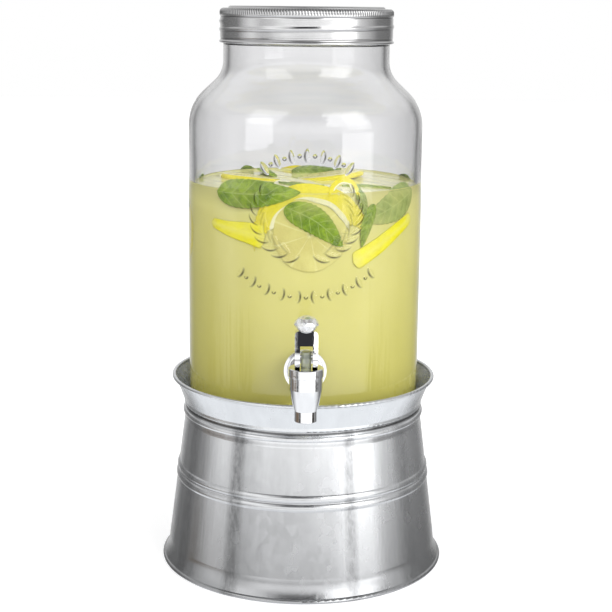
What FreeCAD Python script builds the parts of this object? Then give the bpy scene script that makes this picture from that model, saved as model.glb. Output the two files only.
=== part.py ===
"""Glass jar beverage dispenser with a screw lid and a tap, standing on a galvanised stand.

Millimetres. The jar's axis is the Z axis, z = 0 is the table, and the tap points along -Y.
"""
import FreeCAD, Part
import math
import os

Vec = FreeCAD.Vector

# Sheet metal stand: a tapered skirt closed by a top plate, with a flared tray on it.
SHEET = 0.6
RIM_R, RIM_BEAD_R, RIM_FLAT_DEPTH = 116.5, 2.0, 0.1
CREASE_R, CREASE_Z = 112.4, 18.5
SKIRT_SLOPE = 0.129
SKIRT_TOP_Z = 121.5
RING_BEAD_Z = (74.5, 81.5)
RING_BEAD_WIDTH, RING_BEAD_HEIGHT = 6.2, 1.2
LIP_FOOT, LIP_CROWN, LIP_HEAD = (99.2, 126.2), (100.4, 128.6), (98.9, 130.9)
GROOVE_R, GROOVE_Z = 98.0, 132.3
TOP_PLATE_Z = 129.4
SEAM_ANGLE_DEG, SEAM_LOW_Z, SEAM_RISE = 4.4, CREASE_Z + 1.0, 0.7
TRAY_Z = 134.0
TRAY_WAIST_R, TRAY_WAIST_Z = 99.4, 137.5
TRAY_RIM_R, TRAY_RIM_Z, TRAY_BEAD_R = 107.8, 157.7, 1.5
TRAY_CORNER_R = 1.6
HEM_GAP = 0.1

# Glass jar.
JAR_Z = TRAY_Z + SHEET
JAR_R, JAR_UPPER_R = 95.0, 94.5
JAR_WALL, JAR_FLOOR, JAR_PUNT = 4.5, 7.0, 4.0
JAR_HEEL_R = 14.0
SHOULDER_R, SHOULDER_Z, SHOULDER_ANGLE_DEG = 36.0, 365.0, 47.2
NECK_R, NECK_Z, NECK_CURVE_R = 66.7, 416.0, 21.6
MOUTH_Z, MOUTH_WALL = 454.0, 3.6

# Screw lid: a ring with a rolled thread, a loose disc and a gasket.
THREAD_PITCH = 6.35
THREAD_TURNS = 1.5
THREAD_START_DEG = 30.0
GLASS_THREAD_R, GLASS_THREAD_ROD_R, GLASS_THREAD_Z = 65.9, 1.6, 440.6
LID_SHEET = 0.35
BAND_R, BAND_LOW_Z, BAND_CURL_R = 69.2, 430.3, 0.8
BAND_SHOULDER_R, BAND_SHOULDER_LOW_Z = 69.5, 450.6
BAND_TOP_Z, BAND_OPENING_R, BAND_CORNER_R = 457.1, 65.2, 3.0
ROLLED_THREAD_R, ROLLED_GROOVE_R, ROLLED_THREAD_Z = 69.5, 1.2, 437.6
GASKET_INNER_R, GASKET_OUTER_R, GASKET_HEIGHT = 62.6, 67.0, 1.6
DISC_R, DISC_PANEL_R, DISC_TOP_Z = 67.9, 62.4, 458.7

# Tap. The shank runs along Y through the jar wall, and the barrel stands on its own vertical axis.
TAP_Z = 184.0
BARREL_Y = -133.5
SHANK_R, SHANK_BORE_R, SHANK_END_Y = 8.0, 4.2, -74.0
GLASS_HOLE_R = 8.6
NECK_TUBE_R = 7.8
FLANGE_R, FLANGE_FRONT_Y, FLANGE_BACK_Y = 16.5, -98.6, -97.0
HUB_R, HUB_FRONT_Y = 14.2, -100.4
WASHER_HOLE_R = SHANK_R + 0.2
INNER_WASHER_R, INNER_WASHER_Y = 15.0, -87.4
SLIP_WASHER_R, SLIP_WASHER_Y = 14.0, -86.2
NUT_FLATS_R, NUT_Y, NUT_BOSS_R = 12.0, -80.0, 10.4
BARREL_R, BARREL_LOW_Z, BARREL_TOP_Z = 12.5, 179.5, 189.2
TAPER_R, TAPER_Z = 10.7, 170.6
NOZZLE_R, NOZZLE_TOP_Z, NOZZLE_Z = 8.6, 162.6, 154.2
CHAMBER_R, CHAMBER_Z = 9.0, 171.0
OUTLET_R = 5.6
BONNET_R, BONNET_TOP_Z, BONNET_BOSS_Z = 13.2, 195.7, 186.4
BONNET_BORE_R = 3.08
STEM_R, STEM_BULB_R, STEM_BULB_Z, STEM_BULB_TOP_Z = 3.0, 4.2, 173.6, 176.0
HEAD_R, HEAD_Z, HEAD_TOP_Z = 3.9, 196.0, 207.8
SEAT_FLANGE_Z, SEAT_SLEEVE_R, SEAT_PLUG_R, SEAT_PLUG_TOP_Z = 184.8, 5.3, 7.4, 177.6
SOFT_GAP = 0.3

# Lever, which turns on a pin through the stem's head. Its foot is a cam that lifts the stem.
PIVOT_Z = 204.0
PIN_R, PIN_CLEARANCE = 1.6, 0.06
LEVER_HALF_WIDTH, FORK_HALF_GAP = 8.6, 4.7
CAM_HEIGHT = PIVOT_Z - HEAD_Z
STEM_TRAVEL, LEVER_RANGE_DEG = 3.0, 60.0
BRIDGE_Z, LEVER_TOP_Z, LEVER_CORNER_R = 213.4, 223.4, 2.8
KNOB_Y_OFFSET = 2.3
KNOB_SIDES, KNOB_Z = 12, 224.5
KNOB_RINGS = ((7.4, KNOB_Z), (9.9, 228.0), (9.0, 230.5), (6.4, 233.0), (3.2, 234.3))
STUD_R, STUD_LOW_Z, STUD_HIGH_Z, STUD_COLLAR_R = 2.0, 216.0, 229.0, 5.8


def at(radius, height):
    """A point of an outline that is turned about the Z axis."""
    return Vec(radius, 0, height)


def line(start, end):
    return Part.makeLine(at(*start), at(*end))


def arc(start, middle, end):
    return Part.Arc(at(*start), at(*middle), at(*end)).toShape()


def polyline(points):
    return [line(a, b) for a, b in zip(points, points[1:])]


def turned(edges, degrees=360.0):
    """The solid swept by a closed outline turning about the Z axis."""
    face = Part.Face(Part.Wire(Part.__sortEdges__(edges)))
    solid = face.revolve(Vec(0, 0, 0), Vec(0, 0, 1), degrees)
    return Part.Solid(solid) if solid.ShapeType == "Shell" else solid


def turned_points(points):
    return turned(polyline(points + points[:1]))


def sheet_wall(edges, low, high, thickness, degrees=360.0, rise=0.0):
    """A wall of sheet metal, from the outer outline that runs from low to high, raised outwards by rise."""
    outer = [edge.translated(Vec(rise, 0, 0)) for edge in edges]
    inner = [edge.translated(Vec(-thickness, 0, 0)) for edge in edges]
    ends = [
        line((low[0] + rise, low[1]), (low[0] - thickness, low[1])),
        line((high[0] + rise, high[1]), (high[0] - thickness, high[1])),
    ]
    return turned(outer + inner + ends, degrees)


def hem(centre_r, centre_z, bead_r):
    """A rolled edge, which is a closed tube of sheet round a wire."""
    centre = Vec(0, 0, centre_z)
    outside = Part.makeTorus(centre_r, bead_r, centre)
    return outside.cut(Part.makeTorus(centre_r, bead_r - SHEET, centre))


def hem_wire(centre_r, centre_z, bead_r):
    return Part.makeTorus(centre_r, bead_r - SHEET - HEM_GAP, Vec(0, 0, centre_z))


def tube(outer_r, inner_r, start, length, direction):
    solid = Part.makeCylinder(outer_r, length, start, direction)
    return solid.cut(Part.makeCylinder(inner_r, length, start, direction))


def helical_rod(helix_r, rod_r, start_z, turns):
    """A round rod wound as a right-hand screw thread."""
    helix = Part.makeHelix(THREAD_PITCH, THREAD_PITCH * turns, helix_r)
    lead = Vec(0, 2 * math.pi * helix_r, THREAD_PITCH)
    section = Part.Wire(Part.makeCircle(rod_r, Vec(helix_r, 0, 0), lead))
    rod = Part.Wire(helix.Edges).makePipeShell([section], True, True)
    rod.rotate(Vec(0, 0, 0), Vec(0, 0, 1), THREAD_START_DEG)
    return rod.translated(Vec(0, 0, start_z))


# ---- stand ----

RIM_Z = RIM_BEAD_R - RIM_FLAT_DEPTH


def cone_r(height):
    return CREASE_R - SKIRT_SLOPE * (height - CREASE_Z)


def skirt_outline(low):
    """The skirt's outer line above a low point: taper, two raised ring beads, and taper again."""
    edges = []
    last = low
    for centre in RING_BEAD_Z:
        foot = (cone_r(centre - RING_BEAD_WIDTH / 2), centre - RING_BEAD_WIDTH / 2)
        crown = (cone_r(centre) + RING_BEAD_HEIGHT, centre)
        head = (cone_r(centre + RING_BEAD_WIDTH / 2), centre + RING_BEAD_WIDTH / 2)
        edges += [line(last, foot), arc(foot, crown, head)]
        last = head
    top = (cone_r(SKIRT_TOP_Z), SKIRT_TOP_Z)
    edges.append(line(last, top))
    return edges, top


def stand_skirt():
    crease = (CREASE_R, CREASE_Z)
    foot = (RIM_R + 0.4, RIM_Z + RIM_BEAD_R - SHEET / 2)
    flare = arc(foot, (CREASE_R + 1.3, 10.5), crease)
    taper, top = skirt_outline(crease)
    neck = (GROOVE_R, TRAY_Z)
    lip = [
        line(top, LIP_FOOT),
        arc(LIP_FOOT, LIP_CROWN, LIP_HEAD),
        line(LIP_HEAD, (GROOVE_R, GROOVE_Z)),
        line((GROOVE_R, GROOVE_Z), neck),
    ]
    wall = sheet_wall([flare] + taper + lip, foot, neck, SHEET)
    seam_low = (cone_r(SEAM_LOW_Z), SEAM_LOW_Z)
    seam_line, seam_top = skirt_outline(seam_low)
    seam = sheet_wall(seam_line, seam_low, seam_top, SHEET / 2, SEAM_ANGLE_DEG, SEAM_RISE)
    seam.rotate(Vec(0, 0, 0), Vec(0, 0, 1), 90.0 - SEAM_ANGLE_DEG / 2)
    skirt = wall.fuse([hem(RIM_R, RIM_Z, RIM_BEAD_R), seam])
    below_table = Part.makeCylinder(RIM_R + 10, 5, Vec(0, 0, -5))
    return skirt.cut(below_table)


def base_rim_wire():
    return hem_wire(RIM_R, RIM_Z, RIM_BEAD_R)


def stand_top_plate():
    """The disc that closes the skirt, with its edge turned up inside the neck."""
    outer = GROOVE_R - SHEET - 0.05
    return turned_points([
        (0, TOP_PLATE_Z),
        (outer, TOP_PLATE_Z),
        (outer, TRAY_Z),
        (outer - SHEET, TRAY_Z),
        (outer - SHEET, TOP_PLATE_Z + SHEET),
        (0, TOP_PLATE_Z + SHEET),
    ])


def serving_tray():
    """A shallow pan with a flared wall and a rolled rim, resting on the skirt's neck."""
    turn_in = TRAY_CORNER_R * (1 - math.sqrt(0.5))
    floor_edge = (TRAY_WAIST_R - TRAY_CORNER_R, TRAY_Z)
    corner = (TRAY_WAIST_R - turn_in, TRAY_Z + turn_in)
    wall_foot = (TRAY_WAIST_R, TRAY_Z + TRAY_CORNER_R)
    waist = (TRAY_WAIST_R, TRAY_WAIST_Z)
    rim = (TRAY_RIM_R - 0.7, TRAY_RIM_Z - TRAY_BEAD_R + 0.4)
    middle = ((waist[0] + rim[0]) / 2 - 0.5, (waist[1] + rim[1]) / 2)
    inner_corner = (corner[0] - SHEET / math.sqrt(2), corner[1] + SHEET / math.sqrt(2))
    edges = [
        line((0, TRAY_Z), floor_edge),
        arc(floor_edge, corner, wall_foot),
        line(wall_foot, waist),
        arc(waist, middle, rim),
        line(rim, (rim[0] - SHEET, rim[1])),
        arc((rim[0] - SHEET, rim[1]), (middle[0] - SHEET, middle[1]), (waist[0] - SHEET, waist[1])),
        line((waist[0] - SHEET, waist[1]), (wall_foot[0] - SHEET, wall_foot[1])),
        arc((wall_foot[0] - SHEET, wall_foot[1]), inner_corner, (floor_edge[0], TRAY_Z + SHEET)),
        line((floor_edge[0], TRAY_Z + SHEET), (0, TRAY_Z + SHEET)),
        line((0, TRAY_Z + SHEET), (0, TRAY_Z)),
    ]
    return turned(edges).fuse(hem(TRAY_RIM_R, TRAY_RIM_Z, TRAY_BEAD_R))


def tray_rim_wire():
    return hem_wire(TRAY_RIM_R, TRAY_RIM_Z, TRAY_BEAD_R)


# ---- jar ----


def jar_side(inset):
    """The jar's line from the top of the heel to the mouth, moved into the glass by inset."""
    slope = math.radians(SHOULDER_ANGLE_DEG)
    shoulder_r = SHOULDER_R - inset
    curve_r = NECK_CURVE_R + inset
    centre_r = JAR_UPPER_R - SHOULDER_R
    neck_centre_r = NECK_R + NECK_CURVE_R

    def on_shoulder(angle):
        return (centre_r + shoulder_r * math.cos(angle), SHOULDER_Z + shoulder_r * math.sin(angle))

    def on_neck(angle):
        return (neck_centre_r - curve_r * math.cos(angle), NECK_Z - curve_r * math.sin(angle))

    heel_top = (JAR_R - inset, JAR_Z + JAR_HEEL_R)
    mouth = (NECK_R - inset, MOUTH_Z)
    edges = [
        line(heel_top, (JAR_R - inset, 300.0)),
        line((JAR_R - inset, 300.0), (JAR_UPPER_R - inset, 325.0)),
        line((JAR_UPPER_R - inset, 325.0), on_shoulder(0)),
        arc(on_shoulder(0), on_shoulder(slope / 2), on_shoulder(slope)),
        line(on_shoulder(slope), on_neck(slope)),
        arc(on_neck(slope), on_neck(slope / 2), on_neck(0)),
        line(on_neck(0), mouth),
    ]
    return edges, heel_top, mouth


def glass_jar():
    outer, heel_top, mouth = jar_side(0.0)
    inner, inner_heel_top, inner_mouth = jar_side(JAR_WALL)
    heel_r = JAR_R - JAR_HEEL_R
    turn = JAR_HEEL_R * math.sqrt(0.5)
    heel_middle = (heel_r + turn, JAR_Z + JAR_HEEL_R - turn)
    foot_ring = (heel_r, JAR_Z)
    punt_edge = (heel_r - 6.0, JAR_Z)
    punt_middle = ((heel_r - 6.0) / 2, JAR_Z + JAR_PUNT * 0.75)
    punt_top = (0, JAR_Z + JAR_PUNT)
    inner_floor_z = JAR_Z + JAR_FLOOR
    floor_r = inner_heel_top[0] - (inner_heel_top[1] - inner_floor_z)
    inner_turn = (inner_heel_top[0] - floor_r) * (1 - math.sqrt(0.5))
    edges = outer + inner + [
        arc(foot_ring, heel_middle, heel_top),
        line(foot_ring, punt_edge),
        arc(punt_edge, punt_middle, punt_top),
        line(punt_top, (0, inner_floor_z + 1.0)),
        line((0, inner_floor_z + 1.0), (floor_r, inner_floor_z)),
        arc((floor_r, inner_floor_z), (inner_heel_top[0] - inner_turn, inner_floor_z + inner_turn),
            inner_heel_top),
        line(mouth, inner_mouth),
    ]
    glass = turned(edges)
    thread = helical_rod(GLASS_THREAD_R, GLASS_THREAD_ROD_R, GLASS_THREAD_Z, THREAD_TURNS)
    hole = Part.makeCylinder(GLASS_HOLE_R, 40, Vec(0, -110, TAP_Z), Vec(0, 1, 0))
    return glass.fuse(thread).cut(hole)


# ---- lid ----


def lid_body(inset):
    """The lid ring's solid outline, moved inwards by inset, from below its lower edge to its top."""
    radius = BAND_R - inset
    shoulder = BAND_SHOULDER_R - inset
    corner = BAND_CORNER_R - inset
    top = BAND_TOP_Z - inset
    turn = corner * (1 - math.sqrt(0.5))
    low = BAND_LOW_Z - inset * 10
    return turned([
        line((0, low), (radius, low)),
        line((radius, low), (radius, BAND_SHOULDER_LOW_Z - 1.0)),
        line((radius, BAND_SHOULDER_LOW_Z - 1.0), (shoulder, BAND_SHOULDER_LOW_Z)),
        line((shoulder, BAND_SHOULDER_LOW_Z), (shoulder, top - corner)),
        arc((shoulder, top - corner), (shoulder - turn, top - turn), (shoulder - corner, top)),
        line((shoulder - corner, top), (0, top)),
        line((0, top), (0, low)),
    ])


def lid_band():
    """The threaded ring: thin sheet with a rolled thread, a curled lower edge and an open top."""
    groove = helical_rod(ROLLED_THREAD_R, ROLLED_GROOVE_R, ROLLED_THREAD_Z, THREAD_TURNS)
    rib = helical_rod(ROLLED_THREAD_R, ROLLED_GROOVE_R + LID_SHEET, ROLLED_THREAD_Z, THREAD_TURNS)
    shell = lid_body(0.0).cut(groove).cut(lid_body(LID_SHEET).cut(rib))
    opening = Part.makeCylinder(BAND_OPENING_R, 20, Vec(0, 0, BAND_TOP_Z - 10))
    curl = Part.makeTorus(BAND_R + BAND_CURL_R / 2 - LID_SHEET, BAND_CURL_R, Vec(0, 0, BAND_LOW_Z))
    return shell.cut(opening).fuse(curl)


def lid_disc():
    """The loose disc, whose raised panel stands through the ring's opening."""
    rim_z = MOUTH_Z + GASKET_HEIGHT
    return turned_points([
        (0, DISC_TOP_Z),
        (DISC_PANEL_R - 1.0, DISC_TOP_Z),
        (DISC_PANEL_R, DISC_TOP_Z - 0.8),
        (DISC_PANEL_R + 1.2, rim_z + LID_SHEET),
        (DISC_R, rim_z + LID_SHEET),
        (DISC_R, rim_z),
        (DISC_PANEL_R + 0.9, rim_z),
        (DISC_PANEL_R - 0.4, DISC_TOP_Z - 1.0),
        (DISC_PANEL_R - 1.2, DISC_TOP_Z - LID_SHEET),
        (0, DISC_TOP_Z - LID_SHEET),
    ])


def lid_gasket():
    return tube(GASKET_OUTER_R, GASKET_INNER_R, Vec(0, 0, MOUTH_Z), GASKET_HEIGHT, Vec(0, 0, 1))


# ---- tap ----


def on_barrel(solid):
    return solid.translated(Vec(0, BARREL_Y, 0))


def spigot_body():
    """Barrel, nozzle, neck tube, stepped flange and shank, cast in one piece."""
    barrel = on_barrel(turned([
        line((0, BARREL_TOP_Z), (BARREL_R - 0.4, BARREL_TOP_Z)),
        line((BARREL_R - 0.4, BARREL_TOP_Z), (BARREL_R, BARREL_TOP_Z - 0.4)),
        line((BARREL_R, BARREL_TOP_Z - 0.4), (BARREL_R, BARREL_LOW_Z)),
        arc((BARREL_R, BARREL_LOW_Z), (TAPER_R, TAPER_Z), (NOZZLE_R, NOZZLE_TOP_Z)),
        line((NOZZLE_R, NOZZLE_TOP_Z), (NOZZLE_R, NOZZLE_Z + 0.5)),
        line((NOZZLE_R, NOZZLE_Z + 0.5), (NOZZLE_R - 0.5, NOZZLE_Z)),
        line((NOZZLE_R - 0.5, NOZZLE_Z), (0, NOZZLE_Z)),
        line((0, NOZZLE_Z), (0, BARREL_TOP_Z)),
    ]))
    along = Vec(0, 1, 0)
    axis_point = Vec(0, BARREL_Y, TAP_Z)
    neck = Part.makeCylinder(NECK_TUBE_R, FLANGE_FRONT_Y - BARREL_Y, axis_point, along)
    flange = Part.makeCylinder(FLANGE_R, FLANGE_BACK_Y - FLANGE_FRONT_Y, Vec(0, FLANGE_FRONT_Y, TAP_Z), along)
    hub = Part.makeCylinder(HUB_R, FLANGE_BACK_Y - HUB_FRONT_Y, Vec(0, HUB_FRONT_Y, TAP_Z), along)
    hub = hub.makeFillet(1.0, [e for e in hub.Edges if e.BoundBox.YMax < HUB_FRONT_Y + 0.01])
    shank = Part.makeCylinder(SHANK_R, SHANK_END_Y - FLANGE_BACK_Y, Vec(0, FLANGE_BACK_Y, TAP_Z), along)
    body = barrel.fuse([neck, flange, hub, shank])
    chamber = on_barrel(Part.makeCylinder(CHAMBER_R, 40, Vec(0, 0, CHAMBER_Z)))
    outlet = on_barrel(Part.makeCylinder(OUTLET_R, 30, Vec(0, 0, NOZZLE_Z - 5)))
    passage = Part.makeCylinder(SHANK_BORE_R, SHANK_END_Y + 5 - BARREL_Y, axis_point, along)
    bonnet_room = on_barrel(Part.makeCylinder(BONNET_R + SOFT_GAP, 20, Vec(0, 0, BARREL_TOP_Z)))
    return body.cut([chamber, outlet, passage, bonnet_room]).removeSplitter()


def outer_washer():
    """The soft washer between the flange and the round jar wall."""
    ring = tube(FLANGE_R - 0.3, WASHER_HOLE_R, Vec(0, FLANGE_BACK_Y, TAP_Z), 8, Vec(0, 1, 0))
    return ring.cut(Part.makeCylinder(JAR_R, 80, Vec(0, 0, TAP_Z - 40)))


def inner_washer():
    ring = tube(INNER_WASHER_R, WASHER_HOLE_R, Vec(0, -JAR_R, TAP_Z), JAR_R + INNER_WASHER_Y, Vec(0, 1, 0))
    return ring.common(Part.makeCylinder(JAR_R - JAR_WALL, 80, Vec(0, 0, TAP_Z - 40)))


def slip_washer():
    start = Vec(0, INNER_WASHER_Y, TAP_Z)
    return tube(SLIP_WASHER_R, WASHER_HOLE_R, start, SLIP_WASHER_Y - INNER_WASHER_Y, Vec(0, 1, 0))


def lock_nut():
    """A hexagon nut with a round boss, run up the shank inside the jar."""
    corners = [
        Vec(NUT_FLATS_R / math.cos(math.pi / 6) * math.cos(k * math.pi / 3), SLIP_WASHER_Y,
            TAP_Z + NUT_FLATS_R / math.cos(math.pi / 6) * math.sin(k * math.pi / 3))
        for k in range(7)
    ]
    hexagon = Part.Face(Part.makePolygon(corners)).extrude(Vec(0, 5.0, 0))
    boss = Part.makeCylinder(NUT_BOSS_R, NUT_Y - SLIP_WASHER_Y, Vec(0, SLIP_WASHER_Y, TAP_Z), Vec(0, 1, 0))
    hole = Part.makeCylinder(SHANK_R + 0.05, 30, Vec(0, SLIP_WASHER_Y - 5, TAP_Z), Vec(0, 1, 0))
    return hexagon.fuse(boss).cut(hole)


def spigot_bonnet():
    """The cap screwed into the barrel, which guides the stem and clamps the seat."""
    return on_barrel(turned_points([
        (BONNET_BORE_R, BONNET_BOSS_Z),
        (CHAMBER_R - 0.05, BONNET_BOSS_Z),
        (CHAMBER_R - 0.05, BARREL_TOP_Z),
        (BONNET_R, BARREL_TOP_Z),
        (BONNET_R, BONNET_TOP_Z - 0.6),
        (BONNET_R - 0.6, BONNET_TOP_Z),
        (BONNET_BORE_R, BONNET_TOP_Z),
    ]))


def seat_cup():
    """The soft sleeve on the stem: its flange is clamped under the bonnet, its plug shuts the outlet."""
    return on_barrel(turned_points([
        (0, CHAMBER_Z),
        (SEAT_PLUG_R, CHAMBER_Z),
        (SEAT_PLUG_R, CHAMBER_Z + 3.4),
        (SEAT_SLEEVE_R, SEAT_PLUG_TOP_Z),
        (SEAT_SLEEVE_R, SEAT_FLANGE_Z),
        (CHAMBER_R - 0.1, SEAT_FLANGE_Z),
        (CHAMBER_R - 0.1, BONNET_BOSS_Z),
        (STEM_R + SOFT_GAP, BONNET_BOSS_Z),
        (STEM_R + SOFT_GAP, STEM_BULB_TOP_Z + SOFT_GAP),
        (STEM_BULB_R + SOFT_GAP, STEM_BULB_TOP_Z + SOFT_GAP),
        (STEM_BULB_R + SOFT_GAP, STEM_BULB_Z - SOFT_GAP),
        (0, STEM_BULB_Z - SOFT_GAP),
    ]))


def valve_stem():
    """The plunger: a bulb held in the seat, a shaft, and a head with a bore for the pin."""
    stem = on_barrel(turned_points([
        (0, STEM_BULB_Z),
        (STEM_BULB_R, STEM_BULB_Z),
        (STEM_BULB_R, STEM_BULB_TOP_Z),
        (STEM_R, STEM_BULB_TOP_Z),
        (STEM_R, HEAD_Z),
        (HEAD_R, HEAD_Z),
        (HEAD_R, HEAD_TOP_Z - 0.4),
        (HEAD_R - 0.4, HEAD_TOP_Z),
        (0, HEAD_TOP_Z),
    ]))
    bore = Part.makeCylinder(PIN_R + PIN_CLEARANCE, 20, Vec(-10, BARREL_Y, PIVOT_Z), Vec(1, 0, 0))
    return stem.cut(bore)


def pivot_pin():
    length = 2 * LEVER_HALF_WIDTH
    return Part.makeCylinder(PIN_R, length, Vec(-LEVER_HALF_WIDTH, BARREL_Y, PIVOT_Z), Vec(1, 0, 0))


def cam_point(angle):
    """A point of the lever's foot that touches the bonnet when the lever is tipped by angle."""
    rise = STEM_TRAVEL / math.radians(LEVER_RANGE_DEG)
    height = CAM_HEIGHT + rise * angle
    return Vec(
        0,
        BARREL_Y - height * math.sin(angle) - rise * math.cos(angle),
        PIVOT_Z - height * math.cos(angle) + rise * math.sin(angle),
    )


def lever():
    """A forked lever, whose two legs straddle the stem's head and join in a bridge above it."""
    steps = 8
    cam = Part.BSplineCurve()
    cam.interpolate([cam_point(math.radians(LEVER_RANGE_DEG) * k / steps) for k in range(steps, -1, -1)])
    tip = cam_point(math.radians(LEVER_RANGE_DEG))
    foot = cam_point(0.0)
    top = LEVER_TOP_Z - PIVOT_Z

    def point(behind, above):
        return Vec(0, BARREL_Y + behind, PIVOT_Z + above)

    outline = [
        Part.Arc(point(-8.2, 8.2), point(-10.6, 2.6), tip).toShape(),
        cam.toShape(),
        Part.makeLine(foot, point(3.4, -CAM_HEIGHT)),
        Part.Arc(point(3.4, -CAM_HEIGHT), point(6.3, -5.8), point(7.0, -2.0)).toShape(),
        Part.Arc(point(7.0, -2.0), point(6.7, 9.0), point(5.6, top)).toShape(),
        Part.makeLine(point(5.6, top), point(-1.8, top)),
        Part.makeLine(point(-1.8, top), point(-8.2, 8.2)),
    ]
    face = Part.Face(Part.Wire(Part.__sortEdges__(outline)))
    solid = face.translated(Vec(-LEVER_HALF_WIDTH, 0, 0)).extrude(Vec(2 * LEVER_HALF_WIDTH, 0, 0))
    gap_height = BRIDGE_Z - PIVOT_Z + 15
    gap = Part.makeBox(2 * FORK_HALF_GAP, 40, gap_height,
                       Vec(-FORK_HALF_GAP, BARREL_Y - 20, PIVOT_Z - 15))
    solid = solid.cut(gap)
    size = LEVER_CORNER_R + 1
    for side in (-1, 1):
        centre = Vec(side * (LEVER_HALF_WIDTH - LEVER_CORNER_R), BARREL_Y - 20, LEVER_TOP_Z - LEVER_CORNER_R)
        corner = Part.makeBox(size, 40, size, Vec(min(centre.x, centre.x + side * size), centre.y, centre.z))
        solid = solid.cut(corner.cut(Part.makeCylinder(LEVER_CORNER_R, 40, centre, Vec(0, 1, 0))))
    pin_hole = Part.makeCylinder(PIN_R, 40, Vec(-20, BARREL_Y, PIVOT_Z), Vec(1, 0, 0))
    stud_hole = Part.makeCylinder(STUD_R, 10, Vec(0, BARREL_Y + KNOB_Y_OFFSET, STUD_LOW_Z))
    return solid.cut([pin_hole, stud_hole])


def on_knob(solid):
    return solid.translated(Vec(0, BARREL_Y + KNOB_Y_OFFSET, 0))


def knob_stud():
    """The collared stud that joins the knob to the lever."""
    return on_knob(turned_points([
        (0, STUD_LOW_Z),
        (STUD_R, STUD_LOW_Z),
        (STUD_R, LEVER_TOP_Z),
        (STUD_COLLAR_R, LEVER_TOP_Z),
        (STUD_COLLAR_R, KNOB_Z),
        (STUD_R, KNOB_Z),
        (STUD_R, STUD_HIGH_Z),
        (0, STUD_HIGH_Z),
    ]))


def crystal_knob():
    """A clear knob cut with flat facets, widest at its girdle."""

    def ring(radius, height, turn):
        angles = [(k + turn) * 2 * math.pi / KNOB_SIDES for k in range(KNOB_SIDES)]
        return [Vec(radius * math.cos(a), radius * math.sin(a), height) for a in angles]

    rings = [ring(radius, height, level % 2 / 2) for level, (radius, height) in enumerate(KNOB_RINGS)]
    faces = [Part.Face(Part.makePolygon(r + r[:1])) for r in (rings[0], rings[-1])]
    for level, (low, high) in enumerate(zip(rings, rings[1:])):
        shift = level % 2
        for k in range(KNOB_SIDES):
            next_k = (k + 1) % KNOB_SIDES
            above = (k + shift) % KNOB_SIDES
            next_above = (above + 1) % KNOB_SIDES
            triangles = ((low[k], low[next_k], high[above]), (low[next_k], high[next_above], high[above]))
            for a, b, c in triangles:
                faces.append(Part.Face(Part.makePolygon([a, b, c, a])))
    crystal = Part.Solid(Part.makeShell(faces))
    hole = Part.makeCylinder(STUD_R, STUD_HIGH_Z - KNOB_Z, Vec(0, 0, KNOB_Z))
    return on_knob(crystal.cut(hole))


NODES = [
    stand_skirt,
    base_rim_wire,
    stand_top_plate,
    serving_tray,
    tray_rim_wire,
    glass_jar,
    spigot_body,
    outer_washer,
    inner_washer,
    slip_washer,
    lock_nut,
    spigot_bonnet,
    seat_cup,
    valve_stem,
    pivot_pin,
    lever,
    knob_stud,
    crystal_knob,
    lid_gasket,
    lid_disc,
    lid_band,
]

os.makedirs("parts", exist_ok=True)
for make in NODES:
    shape = make()
    if not shape.isValid():
        raise RuntimeError(make.__name__ + " is not a valid solid")
    shape.exportStep("parts/" + make.__name__ + ".step")
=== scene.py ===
"""Looks for the glass jar beverage dispenser: glass, drink, screw lid, chrome tap and galvanised stand.

Metres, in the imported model's frame: z = 0 is the table, the jar's axis is Z and the tap points along -Y.
"""

from math import atan2, ceil, cos, hypot, pi, radians, sin

import bpy
import numpy as np
from mathutils import Matrix, Vector


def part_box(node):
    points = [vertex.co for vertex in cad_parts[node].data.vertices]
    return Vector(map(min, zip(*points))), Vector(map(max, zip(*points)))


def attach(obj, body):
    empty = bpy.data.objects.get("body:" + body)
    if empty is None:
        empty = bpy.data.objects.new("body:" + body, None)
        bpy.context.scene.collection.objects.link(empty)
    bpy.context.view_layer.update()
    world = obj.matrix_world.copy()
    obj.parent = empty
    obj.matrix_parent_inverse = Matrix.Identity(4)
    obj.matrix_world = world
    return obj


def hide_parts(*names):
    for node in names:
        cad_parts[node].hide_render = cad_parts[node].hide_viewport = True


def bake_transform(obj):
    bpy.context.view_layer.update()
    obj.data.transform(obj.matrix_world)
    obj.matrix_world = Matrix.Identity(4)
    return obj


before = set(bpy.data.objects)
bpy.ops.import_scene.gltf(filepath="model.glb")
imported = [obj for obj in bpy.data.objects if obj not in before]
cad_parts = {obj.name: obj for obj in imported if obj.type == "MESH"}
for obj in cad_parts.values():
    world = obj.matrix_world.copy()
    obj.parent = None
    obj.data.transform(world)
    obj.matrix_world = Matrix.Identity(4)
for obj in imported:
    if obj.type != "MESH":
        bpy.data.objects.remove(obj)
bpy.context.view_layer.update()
MM = 0.001

# ---- sizes taken from the frame ----

jar_low, jar_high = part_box("glass_jar")
band_low, band_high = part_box("lid_band")
JAR_R = jar_high.x
JAR_Z = jar_low.z
MOUTH_Z = jar_high.z
TAP_Z = sum(corner.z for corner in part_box("slip_washer")) / 2

# The jar's own outline, which repeats the CAD jar's driving sizes.
JAR_UPPER_R = JAR_R - 0.5 * MM
WALL = 4.5 * MM
FLOOR, PUNT = 7.0 * MM, 4.0 * MM
HEEL_R = 14.0 * MM
SHOULDER_R, SHOULDER_Z, SHOULDER_ANGLE = 36.0 * MM, 365.0 * MM, radians(47.2)
NECK_R, NECK_Z, NECK_CURVE_R = 66.7 * MM, 416.0 * MM, 21.6 * MM
THREAD_PITCH, THREAD_TURNS, THREAD_START = 6.35 * MM, 1.5, radians(30)
GLASS_THREAD_Z, GLASS_THREAD_HEIGHT = 440.6 * MM, 0.8 * MM
THREADED_LOW_Z, THREADED_HIGH_Z = 428.0 * MM, 453.5 * MM
HOLE_R = 8.6 * MM
TAPER_LOW_Z, TAPER_HIGH_Z = 300.0 * MM, 325.0 * MM

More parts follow.
